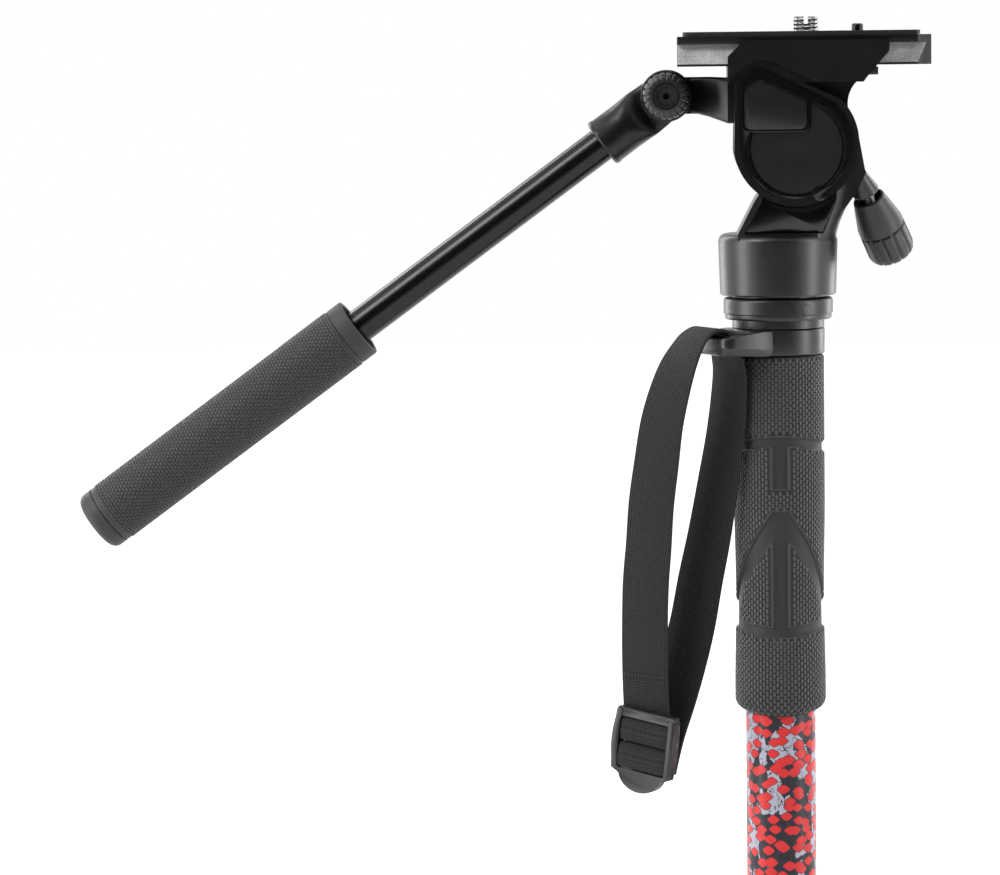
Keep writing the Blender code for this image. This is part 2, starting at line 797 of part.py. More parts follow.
def strap_buckle():
    """A ladder buckle in front of the strap's lower end: two windows and a thumb tab."""
    station = strap_route()[BUCKLE_ROW]
    normal = Vector((-math.sin(station.w), -math.cos(station.w), 0))
    at = station.xyz + normal * (WEB_THICKNESS + GAP * 2 + BUCKLE_THICKNESS / 2)
    frame = Matrix.Rotation(-station.w, 3, "Z")
    half = BUCKLE_WIDTH / 2
    top = BUCKLE_HEIGHT / 2
    outline = [
        (-half, top),
        (-half, -top + BUCKLE_TAB),
        (-half * BUCKLE_TAB_SHARE, -top),
        (half * BUCKLE_TAB_SHARE, -top),
        (half, -top + BUCKLE_TAB),
        (half, top),
    ]
    face = BUCKLE_THICKNESS / 2
    buckle = extruded("strap_buckle", rounded(outline, BUCKLE_BAR / 2), -face, face, PLASTIC, at, frame)
    window = (BUCKLE_HEIGHT - BUCKLE_TAB - BUCKLE_BAR * (BUCKLE_WINDOWS + 1)) / BUCKLE_WINDOWS
    for i in range(BUCKLE_WINDOWS):
        upper = top - BUCKLE_BAR - i * (window + BUCKLE_BAR)
        corner = (-half + BUCKLE_SIDE, -face - CUT, upper - window)
        hole = block(corner, (half - BUCKLE_SIDE, face + CUT, upper))
        cut(buckle, place(f"buckle_window_{i + 1}", hole, PLASTIC, at, frame))


def hand_grip():
    """The rubber sleeve, with its waist, two smooth bands cut as grooves and a round lower end."""
    bore = tube_r(1) + GAP
    height = GRIP_TOP - GRIP_BOTTOM
    waist = GRIP_BOTTOM + height * GRIP_WAIST_SHARE
    shares = (
        (GRIP_BAND_SHARES[1], GRIP_R),
        (GRIP_BAND_SHARES[1], GRIP_R - GRIP_GROOVE),
        (GRIP_BAND_SHARES[0], GRIP_R - GRIP_GROOVE),
        (GRIP_BAND_SHARES[0], GRIP_R),
    )
    lower = (
        (GRIP_LOW_BAND_SHARES[1], GRIP_R - GRIP_GROOVE),
        (GRIP_LOW_BAND_SHARES[1], GRIP_R - 2 * GRIP_GROOVE),
        (GRIP_LOW_BAND_SHARES[0], GRIP_R - 2 * GRIP_GROOVE),
        (GRIP_LOW_BAND_SHARES[0], GRIP_R - GRIP_GROOVE),
    )
    profile = [(bore, GRIP_TOP), (GRIP_R - GAP, GRIP_TOP), (GRIP_R, GRIP_TOP - GAP)]
    profile += [(r, GRIP_BOTTOM + height * share) for share, r in shares]
    profile += [(GRIP_R - GRIP_GROOVE, waist)]
    profile += [(r, GRIP_BOTTOM + height * share) for share, r in lower]
    fillet = GRIP_R - bore - GRIP_GROOVE
    profile += arc((GRIP_R - fillet, GRIP_BOTTOM + fillet), fillet, 0, -90, 3)
    profile += [(bore, GRIP_BOTTOM)]
    turned("hand_grip", profile, RUBBER, sides=MEDIUM)


# Pan base and housing


def pan_base():
    """The fixed base that the stud screws into, with the spindle that the housing turns on."""
    bottom = DISC_TOP + GAP
    top = HOUSING_BOTTOM + PAN_BASE_HEIGHT
    bore = STUD_R + GAP
    stud_top = DISC_TOP + STUD_LENGTH / 2 + GAP
    profile = [
        (0, top + SPINDLE_HEIGHT),
        (SPINDLE_R, top + SPINDLE_HEIGHT),
        (SPINDLE_R, top),
        (PAN_BASE_R, top),
        (PAN_BASE_R, bottom),
        (bore, bottom),
        (bore, stud_top),
        (0, stud_top),
    ]
    turned("pan_base", profile, TUBE, sides=MEDIUM)
    low = top + GAP
    turned("pan_bearing", ring_profile(SPINDLE_R + GAP, BEARING_R, low, low + BEARING_HEIGHT), STEEL)


def arm_outline():
    """The arm's wide foot from the front: it leans up from the base and stays under the bed's swing."""
    foot_left = -HOUSING_R * ARM_FOOT_SHARE
    foot_right = HOUSING_R - HOUSING_TAPER
    base = HOUSING_TOP - HOUSING_CHAMFER
    return [
        (foot_right, base - HOUSING_CHAMFER),
        (foot_right, base + HOUSING_CHAMFER),
        (TILT_X + WEB_R * ARM_HIP_SHARES[0], TILT_Z - WEB_R * ARM_HIP_SHARES[1]),
        (TILT_X + WEB_R * ARM_TOP_SHARES[0], TILT_Z - WEB_R * ARM_TOP_SHARES[1]),
        (TILT_X, TILT_Z),
        (TILT_X - WEB_R * ARM_WAIST_SHARES[0], TILT_Z - WEB_R * ARM_WAIST_SHARES[1]),
        (foot_left, HOUSING_TOP),
        (foot_left, base - HOUSING_CHAMFER),
    ]


def horn_outline():
    """The narrow part between the cheeks, which reaches out to the lock boss and up its side."""
    return [
        (TILT_X, TILT_Z - WEB_R),
        (TILT_X + WEB_R * HORN_ROOT_SHARES[0], TILT_Z - WEB_R * HORN_ROOT_SHARES[1]),
        (LOCK_X - LOCK_BOSS_R, LOCK_Z + LOCK_BOSS_R / 4),
        (LOCK_X - LOCK_BOSS_R / 4, LOCK_Z + LOCK_BOSS_R * 2),
        (TILT_X + CHEEK_R + GAP, TILT_Z + CHEEK_R * HORN_SHARE),
        (TILT_X, TILT_Z + WEB_R / 3),
    ]


def pan_housing():
    """The turning casting: the pan drum, and the arm that carries the tilt axle between the cheeks."""
    top_inner = PAN_BASE_R + RUN
    roof = HOUSING_BOTTOM + PAN_BASE_HEIGHT + SPINDLE_HEIGHT + RUN
    shelf = HOUSING_BOTTOM + PAN_BASE_HEIGHT + GAP + BEARING_HEIGHT + RUN
    profile = [
        (0, HOUSING_TOP),
        (HOUSING_R - HOUSING_CHAMFER, HOUSING_TOP),
        (HOUSING_R, HOUSING_TOP - HOUSING_CHAMFER),
        (HOUSING_R - HOUSING_TAPER, HOUSING_BOTTOM + GAP),
        (HOUSING_R - HOUSING_TAPER - GAP, HOUSING_BOTTOM),
        (0, HOUSING_BOTTOM),
    ]
    housing = turned("pan_housing", profile, CASTING, sides=FINE)
    arm = extruded("pan_arm", arm_outline(), -ARM_HALF_WIDTH, ARM_HALF_WIDTH, CASTING)
    fuse(housing, arm)
    thin = WEB_HALF_WIDTH - GAP / 3
    fuse(housing, extruded("arm_horn", horn_outline(), -thin, thin, CASTING))
    thick = WEB_HALF_WIDTH + GAP / 3
    round_web = rod_profile(WEB_R, -thick, thick)
    at_tilt = (TILT_X, 0, TILT_Z)
    direction = lock_direction()
    boss_at = Vector((LOCK_X, 0, LOCK_Z)) - direction * LOCK_BOSS_LENGTH
    boss = rod_profile(LOCK_BOSS_R, 0, LOCK_BOSS_LENGTH - LOCK_SHANK, GAP)
    fuse(housing, turned("lock_boss", boss, CASTING, boss_at, along(direction), COARSE))
    reach = CHEEK_R + RUN * 2
    for side in (-1, 1):
        low = WEB_HALF_WIDTH if side > 0 else -ARM_HALF_WIDTH - CUT
        pocket = rod_profile(reach, low, low + ARM_HALF_WIDTH - WEB_HALF_WIDTH + CUT)
        at = (TILT_X, 0, TILT_Z)
        name = "rear_pocket" if side > 0 else "front_pocket"
        cut(housing, turned(name, pocket, CASTING, at, Matrix.Rotation(-QUARTER_TURN, 3, "X"), FINE))
        wall = ARM_HALF_WIDTH - PANEL_DEPTH
        ends = (wall, ARM_HALF_WIDTH + CUT) if side > 0 else (-ARM_HALF_WIDTH - CUT, -wall)
        recess = extruded(f"{name}_recess", panel_outline(0), *ends, CASTING)
        cut(housing, recess)
    well = [
        (0, roof),
        (SPINDLE_R + RUN, roof),
        (SPINDLE_R + RUN, shelf),
        (top_inner, shelf),
        (top_inner, HOUSING_BOTTOM - CUT),
        (0, HOUSING_BOTTOM - CUT),
    ]
    cut(housing, turned("pan_well", well, CASTING, sides=MEDIUM))
    fuse(housing, turned("arm_web", round_web, CASTING, at_tilt, ACROSS, FINE))
    axle = rod_profile(AXLE_R + BEARING_WALL + GAP, -ARM_HALF_WIDTH - CUT, ARM_HALF_WIDTH + CUT)
    cut(housing, turned("axle_bore", axle, CASTING, (TILT_X, 0, TILT_Z), ACROSS, COARSE))
    screw = rod_profile(LOCK_SHAFT_R + GAP, -LOCK_BOSS_LENGTH * LOCK_BORE_SHARE, CUT)
    at = (LOCK_X, 0, LOCK_Z)
    cut(housing, turned("lock_bore", screw, CASTING, at, along(direction), SMALL))


def lock_direction():
    flat = math.cos(LOCK_YAW)
    return Vector((flat * math.sin(LOCK_LEAN), math.sin(LOCK_YAW), -flat * math.cos(LOCK_LEAN)))


def panel_outline(inset):
    """The recess in the arm's face; `inset` draws it in for the panel that lies in it."""
    left = -HOUSING_R * ARM_FOOT_SHARE
    hip = TILT_X + WEB_R * ARM_HIP_SHARES[0]
    floor = HOUSING_TOP + GAP + inset
    head = TILT_Z
    frame = PANEL_FRAME + inset
    waist = TILT_X - WEB_R * ARM_WAIST_SHARES[0]
    return [
        (left + frame, floor),
        (HOUSING_R - HOUSING_TAPER - PANEL_FRAME * 2 - inset, floor),
        (hip - PANEL_FRAME * 2 - inset, TILT_Z - WEB_R),
        (TILT_X + WEB_R * PANEL_HEAD_SHARE - inset, head),
        (waist + frame, head),
        (waist + frame, TILT_Z - WEB_R),
    ]


def arm_panels():
    """The glossy panels that close the recesses under the tilt drum."""
    wall = ARM_HALF_WIDTH - PANEL_DEPTH
    for name, low in (("arm_panel_front", -wall - GAP - PANEL_THICKNESS), ("arm_panel_rear", wall + GAP)):
        panel = extruded(name, panel_outline(GAP), low, low + PANEL_THICKNESS, GLOSS)
        clear = rod_profile(CHEEK_R + RUN * 3, -ARM_HALF_WIDTH * 2, ARM_HALF_WIDTH * 2)
        at = (TILT_X, 0, TILT_Z)
        cut(panel, turned(f"{name}_relief", clear, GLOSS, at, ACROSS, FINE))


def tilt_lock():
    """The knob that clamps the tilt, on its screw."""
    direction = lock_direction()
    turn = along(direction)
    at = Vector((LOCK_X, 0, LOCK_Z))
    core = LOCK_LENGTH * LOCK_CORE_SHARE
    screw = rod_profile(LOCK_SHAFT_R, -LOCK_BOSS_LENGTH * LOCK_BORE_SHARE + GAP, core - GAP, GAP)
    turned("tilt_lock_screw", screw, STEEL, at, turn, SMALL)
    start = LOCK_GAP
    shoulder = LOCK_LENGTH * LOCK_SHOULDER_SHARE
    body = scalloped(LOCK_R, LOCK_FLUTE, LOCK_FLUTES, shoulder, LOCK_LENGTH, LOCK_FLUTE * 2, steps=RIB_STEPS)
    knob = place("tilt_lock_knob", body, PLASTIC, at, turn)
    cone = [
        (0, shoulder + GAP),
        (LOCK_R - LOCK_FLUTE, shoulder + GAP),
        (LOCK_R, shoulder - LOCK_FLUTE),
        (LOCK_R - LOCK_FLUTE, start + (shoulder - start) / 2),
        (LOCK_MOUTH_R, start + LOCK_FLUTE),
        (LOCK_MOUTH_R, start),
        (0, start),
    ]
    fuse(knob, turned("tilt_lock_cone", cone, PLASTIC, at, turn, MEDIUM))
    wall = LOCK_MOUTH_R - LOCK_FLUTE
    hollow = [(0, core), (wall, core), (wall, start - CUT), (0, start - CUT)]
    cut(knob, turned("tilt_lock_mouth", hollow, PLASTIC, at, turn, COARSE))


# Tilt body


def drum_point(shares):
    """A point left of the tilt axis and above it, by shares of the cheek's radius."""
    return (TILT_X - CHEEK_R * shares[0], TILT_Z + CHEEK_R * shares[1])


def cheek_reach(side):
    """How far the outer face of the front (-1) or rear (1) cheek is from the middle plane."""
    return FRONT_CHEEK_REACH if side < 0 else CHEEK_HALF_WIDTH


def cheek_outline(radius, grow=0.0):
    """The teardrop: a circle round the tilt axis whose sides run up to a blunt apex at the bed."""
    apex_x, apex_z = drum_point(APEX_SHARES)
    shoulder_x, shoulder_z = drum_point(SHOULDER_SHARES)
    return [
        (apex_x + grow, apex_z + grow),
        *arc((TILT_X, TILT_Z), radius, *CHEEK_ARC, ROUND_STEPS),
        (shoulder_x - grow, shoulder_z + grow / 2),
        (apex_x - APEX_FLAT - grow, apex_z + grow),
    ]


def tilt_body():
    """The tilting casting: the bed and its fixed jaw, a cheek each side of the arm, and the neck."""
    top = BED_TOP
    outline = [
        (BED_LEFT + BED_CHAMFER, top),
        (BED_LEFT, top - BED_CHAMFER),
        (BED_LEFT, BED_BOTTOM),
        (BED_RIGHT - BED_NOSE_BACK, BED_BOTTOM),
        (BED_RIGHT - BED_NOSE, BED_BOTTOM + BED_LIP),
        (BED_RIGHT, top - BED_CHAMFER + BED_EDGE),
        (BED_RIGHT, top),
    ]
    body = extruded("tilt_body", outline, -BED_HALF_WIDTH, BED_HALF_WIDTH, TILT_BLACK)
    web_top = BED_BOTTOM + BED_LIP / 2
    for name, side in (("front_cheek", -1), ("rear_cheek", 1)):
        reach = cheek_reach(side) + (RUN if side < 0 else 0)
        low = min(side * reach, side * (WEB_HALF_WIDTH + RUN))
        high = max(side * reach, side * (WEB_HALF_WIDTH + RUN))
        fuse(body, extruded(name, cheek_outline(CHEEK_R, GAP), low, high, TILT_BLACK))
        hip = CHEEK_R * GUSSET_SHARE
        hollow = arc((BED_RIGHT - BED_LIP, TILT_Z + hip), BED_CHAMFER * 2, *GUSSET_ARC, CORNER_STEPS * 2)
        gusset = [
            (TILT_X, web_top),
            (BED_RIGHT - BED_NOSE_BACK, web_top),
            *hollow,
            (TILT_X + hip, TILT_Z + hip),
            (TILT_X, TILT_Z + CHEEK_R / 2),
        ]
        inner = side * (WEB_HALF_WIDTH + RUN + GAP)
        outer = side * (CHEEK_HALF_WIDTH - COVER_THICKNESS * 2)
        piece = extruded(f"{name}_gusset", gusset, min(inner, outer), max(inner, outer), TILT_BLACK)
        fuse(body, piece)
    arch = cheek_outline(CHEEK_R + ARCH_RIM, ARCH_RIM)
    relief = extruded("face_relief", arch, -BED_HALF_WIDTH - CUT, -FRONT_CHEEK_REACH, TILT_BLACK)
    cut(body, relief)
    fuse(body, handle_neck())
    channel_half = PLATE_WIDTH / 2 + RUN
    waist = PLATE_WIDTH / 2 - PLATE_FLANK + RUN
    jaw_top = FLANK_TOP - RUN
    dovetail = [
        (-channel_half, CHANNEL_FLOOR),
        (channel_half + JAW_DEPTH, CHANNEL_FLOOR),
        (channel_half + JAW_DEPTH, BED_TOP + CUT),
        (-channel_half, BED_TOP + CUT),
        (-channel_half, jaw_top),
        (-waist, jaw_top),
        (-channel_half, PLATE_EDGE_TOP),
    ]
    channel = across_x(dovetail, BED_LEFT - CUT, BED_RIGHT + CUT)
    cut(body, place("plate_channel", channel, TILT_BLACK))
    axle = rod_profile(AXLE_R + GAP, -CHEEK_HALF_WIDTH + AXLE_WALL, CHEEK_HALF_WIDTH - AXLE_WALL)
    cut(body, turned("cheek_bore", axle, TILT_BLACK, (TILT_X, 0, TILT_Z), ACROSS, COARSE))
    half = WEB_HALF_WIDTH + RUN / 2
    groove = block((TILT_X, -half, TILT_Z), (BED_RIGHT + CUT, half, GROOVE_TOP))
    cut(body, place("arm_groove", groove, TILT_BLACK))
    room = rod_profile(GROOVE_TOP - TILT_Z, -half, half)
    cut(body, turned("web_room", room, TILT_BLACK, (TILT_X, 0, TILT_Z), ACROSS, FINE))
    for side in (-1, 1):
        reach = cheek_reach(side)
        sink = reach - COVER_SINK
        ends = (sink, reach + CUT) if side > 0 else (-reach - CUT, -sink)
        seat = extruded(f"cover_seat_{side + 2}", cover_outline(GAP), *ends, TILT_BLACK)
        cut(body, seat)
    slot_low = (BUTTON_LEFT - BUTTON_TRAVEL - GAP, -BUTTON_HALF - GAP, BED_BOTTOM - CUT)
    slot_high = (BUTTON_RIGHT + GAP, BUTTON_HALF + GAP, BUTTON_TOP + CUT)
    cut(body, place("button_slot", block(slot_low, slot_high), TILT_BLACK))


def across_x(outline, low, high):
    """A solid between two planes square to X, from a (y, z) outline."""
    bm = bmesh.new()
    face = bm.faces.new([bm.verts.new((low, y, z)) for y, z in outline])
    grown = bmesh.ops.extrude_face_region(bm, geom=[face])
    moved = [v for v in grown["geom"] if isinstance(v, bmesh.types.BMVert)]
    bmesh.ops.translate(bm, verts=moved, vec=(high - low, 0, 0))
    return bm


def cover_outline(grow=0.0):
    apex_x, apex_z = drum_point(APEX_SHARES)
    shoulder_x, shoulder_z = drum_point(SHOULDER_SHARES)
    inset = CHEEK_R - COVER_R
    return [
        (apex_x + grow, apex_z - inset / 2 + grow),
        *arc((TILT_X, TILT_Z), COVER_R + grow, *COVER_ARC, ROUND_STEPS),
        (shoulder_x + inset / 2 - grow, shoulder_z - inset / 2 + grow),
        (apex_x - APEX_FLAT - grow, apex_z - inset / 2 + grow),
    ]


def badge_outline(grow=0.0):
    """The blank badge: a rounded six-sided plate near the apex."""
    centre = Vector((TILT_X - COVER_R * BADGE_PLACE_SHARES[0], TILT_Z + COVER_R * BADGE_PLACE_SHARES[1]))
    corners = [(centre.x + COVER_R * x, centre.y + COVER_R * z) for x, z in BADGE_SHARES]
    corners = [Vector(c) + (Vector(c) - centre).normalized() * grow for c in corners]
    return rounded([tuple(c) for c in corners], BADGE_CORNER)


def covers():
    """The two teardrop covers; the front one is dished inside its lip and carries the badge."""
    for name, side in (("front_cover", -1), ("rear_cover", 1)):
        inner = side * (cheek_reach(side) - COVER_SINK + GAP)
        outer = side * (cheek_reach(side) - COVER_SINK + GAP + COVER_THICKNESS)
        cover = extruded(name, cover_outline(), min(inner, outer), max(inner, outer), GLOSS)
        dish = COVER_THICKNESS * DISH_SHARE
        low = outer - dish if side > 0 else outer - CUT
        high = outer + CUT if side > 0 else outer + dish
        disc = turned(
            f"{name}_dish",
            rod_profile(COVER_R - COVER_LIP, -high, -low),
            GLOSS,
            (TILT_X, 0, TILT_Z),
            ACROSS,
            MEDIUM,
        )
        cut(cover, disc)
        if side < 0:
            floor = outer + COVER_THICKNESS - GAP
            fuse(cover, extruded("badge_boss", badge_outline(COVER_LIP / 2), outer, floor, GLOSS))
            pocket = extruded("badge_pocket", badge_outline(GAP), outer - CUT, outer + BADGE_THICKNESS, GLOSS)
            cut(cover, pocket)
            plate_low = outer - GAP
            extruded("badge_plate", badge_outline(), plate_low, plate_low + BADGE_THICKNESS, PLASTIC)


def tilt_axle():
    reach = CHEEK_HALF_WIDTH - AXLE_WALL - GAP
    at = (TILT_X, 0, TILT_Z)
    turned("tilt_axle", rod_profile(AXLE_R, -reach, reach, GAP), STEEL, at, ACROSS, COARSE)
    for name, side in (("tilt_bearing_front", 1), ("tilt_bearing_rear", -1)):
        far = side * (WEB_HALF_WIDTH - GAP)
        near = side * (WEB_HALF_WIDTH - GAP - BEARING_WIDTH)
        profile = ring_profile(AXLE_R + GAP, AXLE_R + BEARING_WALL, min(near, far), max(near, far))
        turned(name, profile, NYLON, at, ACROSS, COARSE)


def handle_neck():
    """The neck that carries the pan bar, from the cheeks' left side out to its round eye."""
    low = EYE_GAP
    neck = bmesh.new()
    near = low + EYE_WIDTH
    inside = TILT_X - CHEEK_R * NECK_ROOT_SHARE
    sections = (
        (PIVOT_X + BOLT_R + GAP * 2, NECK_HALF, NECK_HALF, low + GAP, near - GAP),
        (PIVOT_X + EYE_R + CUT, NECK_HALF, NECK_HALF, -NECK_FLARE, near - GAP),
        (BED_LEFT, NECK_HALF - GAP, NECK_ROOT_DROP, -ROOT_HALF, ROOT_HALF),
        (inside, NECK_HALF - GAP, NECK_ROOT_DROP, -ROOT_HALF, ROOT_HALF),
    )
    rings = []
    for x, up, down, y0, y1 in sections:
        under, over = PIVOT_Z - down, PIVOT_Z + up
        corners = ((x, y0, under), (x, y1, under), (x, y1, over), (x, y0, over))
        rings.append([neck.verts.new(corner) for corner in corners])
    join_rings(neck, rings)
    made = place("handle_neck", neck, TILT_BLACK)
    at = (PIVOT_X, 0, PIVOT_Z)
    eye = scalloped(EYE_R + ROSETTE, ROSETTE, ROSETTE_TEETH, -near, -low, GAP, steps=RIB_STEPS)
    fuse(made, place("neck_eye", eye, TILT_BLACK, at, ACROSS))
    bore = rod_profile(BOLT_R + GAP, -near - CUT, -low + CUT)
    cut(made, turned("neck_bore", bore, TILT_BLACK, at, ACROSS, SMALL))
    room = rod_profile(EYE_R + RUN * 3, -low + GAP / 3, EYE_WIDTH * 2)
    cut(made, turned("socket_room", room, TILT_BLACK, at, ACROSS, MEDIUM))
    return made


def clamp_jaw():
    """The moving jaw on the far side, its screw and knob, and the release button under the nose."""
    channel = PLATE_WIDTH / 2 + RUN
    waist = PLATE_WIDTH / 2 - PLATE_FLANK + RUN
    outer = channel + JAW_DEPTH - JAW_TRAVEL - RUN
    low = CHANNEL_FLOOR + RUN
    jaw_top = FLANK_TOP - RUN
    outline = [(outer, low), (outer, jaw_top), (waist, jaw_top), (channel, PLATE_EDGE_TOP), (channel, low)]
    left = (BED_LEFT + BED_RIGHT) / 2 - JAW_LENGTH / 2
    place("clamp_jaw", across_x(outline, left, left + JAW_LENGTH), BLASTED)
    turn = Matrix.Rotation(-QUARTER_TURN, 3, "X")
    at = ((BED_LEFT + BED_RIGHT) / 2, BED_HALF_WIDTH, (CHANNEL_FLOOR + jaw_top) / 2)
    body = scalloped(PLATE_KNOB_R, LOCK_FLUTE, LOCK_FLUTES, GAP, PLATE_KNOB_LENGTH, LOCK_FLUTE, steps=RIB_STEPS)
    knob = place("plate_lock_knob", body, PLASTIC, at, turn)
    depth = BED_HALF_WIDTH - outer
    stem = rod_profile(PLATE_SCREW_R, -depth + JAW_TRAVEL + RUN, GAP * 2)
    fuse(knob, turned("plate_lock_screw", stem, STEEL, at, turn, SMALL))
    bore = rod_profile(PLATE_SCREW_R + RUN, -depth - CUT, CUT)
    cut(bpy.data.objects["tilt_body"], turned("plate_lock_bore", bore, TILT_BLACK, at, turn, SMALL))
    button = block((BUTTON_LEFT, -BUTTON_HALF, BUTTON_BOTTOM), (BUTTON_RIGHT, BUTTON_HALF, BUTTON_TOP))
    place("release_button", button, PLASTIC)


# Sliding plate


def camera_plate():
    right = PLATE_LEFT + PLATE_LENGTH
    half = PLATE_WIDTH / 2
    waist = half - PLATE_FLANK
    section = [
        (-half, PLATE_BOTTOM),
        (half, PLATE_BOTTOM),
        (half, PLATE_EDGE_TOP),
        (waist, FLANK_TOP),
        (half, FLANK_TOP),
        (half, FLANGE_TOP),
        (-half, FLANGE_TOP),
        (-half, FLANK_TOP),
        (-waist, FLANK_TOP),
        (-half, PLATE_EDGE_TOP),
    ]
    plate = place("camera_plate", across_x(section, PLATE_LEFT, right), BLASTED)
    for name, side in (("plate_corner_near", -1), ("plate_corner_far", 1)):
        corner = bmesh.new()
        edge = side * (half + CUT)
        points = ((right - PLATE_CORNER, edge), (right + CUT, edge), (right + CUT, side * (half - PLATE_CORNER)))
        base = [corner.verts.new((x, y, PLATE_BOTTOM - CUT)) for x, y in points]
        grown = bmesh.ops.extrude_face_region(corner, geom=[corner.faces.new(base)])
        moved = [v for v in grown["geom"] if isinstance(v, bmesh.types.BMVert)]
        bmesh.ops.translate(corner, verts=moved, vec=(0, 0, FLANGE_TOP - PLATE_BOTTOM + 2 * CUT))
        cut(plate, place(name, corner, BLASTED))
    head_top = PLATE_BOTTOM + SCREW_HEAD + GAP * 2
    for x, radius, height, name in (
        (SCREW_X, SCREW_HEAD_R + RUN, head_top + GAP, "screw_head_seat"),
        (SCREW_X, SCREW_R + RUN, FLANGE_TOP + CUT, "screw_hole"),
        (PIN_X, PIN_R + RUN, FLANGE_TOP + CUT, "pin_hole"),
        (PIN_X, PIN_R * 2 + RUN, FLANK_TOP, "pin_well"),
    ):
        hole = rod_profile(radius, PLATE_BOTTOM - CUT, height)
        cut(plate, turned(name, hole, BLASTED, (x, 0, 0), sides=COARSE))
    pad_low = FLANGE_TOP + PAD_SEAT
    pad_top = FLANGE_TOP + PAD_THICKNESS
    outline = [
        (PLATE_LEFT + PAD_INSET, -half + PAD_INSET),
        (right - PAD_INSET * 2, -half + PAD_INSET),
        (right - PAD_INSET * 2, half - PAD_INSET),
        (PLATE_LEFT + PAD_INSET, half - PAD_INSET),
    ]
    flat = Matrix.Rotation(-QUARTER_TURN, 3, "X")
    pad = extruded("plate_pad", rounded(outline, PAD_INSET), -pad_top, -pad_low, RUBBER, turn=flat)
    for x, radius, name in ((SCREW_X, SCREW_R, "pad_screw_hole"), (PIN_X, PIN_R, "pad_pin_hole")):
        hole = rod_profile(radius + RUN * 2, pad_low - CUT, pad_top + CUT)
        cut(pad, turned(name, hole, RUBBER, (x, 0, 0), sides=COARSE))
    camera_screw(head_top, pad_top)
    video_pin(pad_top)


def camera_screw(head_top, pad_top):
    """The camera screw: a slotted head under the plate, and a slotted tip above the pad."""
    tip = pad_top + SCREW_PROUD
    low = PLATE_BOTTOM + GAP
    profile = [
        (0, tip),
        (SCREW_R - GAP * 2, tip),
        (SCREW_R, tip - GAP * 2),
        (SCREW_R, head_top),
        (SCREW_HEAD_R, head_top),
        (SCREW_HEAD_R, low),
        (0, low),
    ]
    screw = turned("camera_screw", profile, STEEL, (SCREW_X, 0, 0), sides=COARSE)
    slot = SCREW_R * SLOT_SHARE
    for name, bottom, top, half in (
        ("tip_slot", tip - SCREW_PROUD / 2, tip + CUT, SCREW_R),
        ("head_slot", low - CUT, low + SCREW_HEAD / 2, SCREW_HEAD_R),
    ):
        shape = block((-slot, -half - CUT, bottom), (slot, half + CUT, top))
        cut(screw, place(name, shape, STEEL, (SCREW_X, 0, 0)))


def video_pin(pad_top):
    """The sprung pin: a shouldered rod that sinks into the plate, on its coil spring's seat."""
    tip = pad_top + PIN_PROUD
    shoulder = FLANK_TOP - GAP
    collar = PIN_R * 2
    low = shoulder - PIN_R
    profile = [
        (0, tip),
        (PIN_R - GAP, tip),
        (PIN_R, tip - GAP),
        (PIN_R, shoulder),
        (collar, shoulder),
        (collar, low),
        (0, low),
    ]
    turned("video_pin", profile, TUBE, (PIN_X, 0, 0), sides=COARSE)


# Pan bar


def bar_direction():
    return Vector((-math.cos(BAR_SLOPE), 0, -math.sin(BAR_SLOPE)))


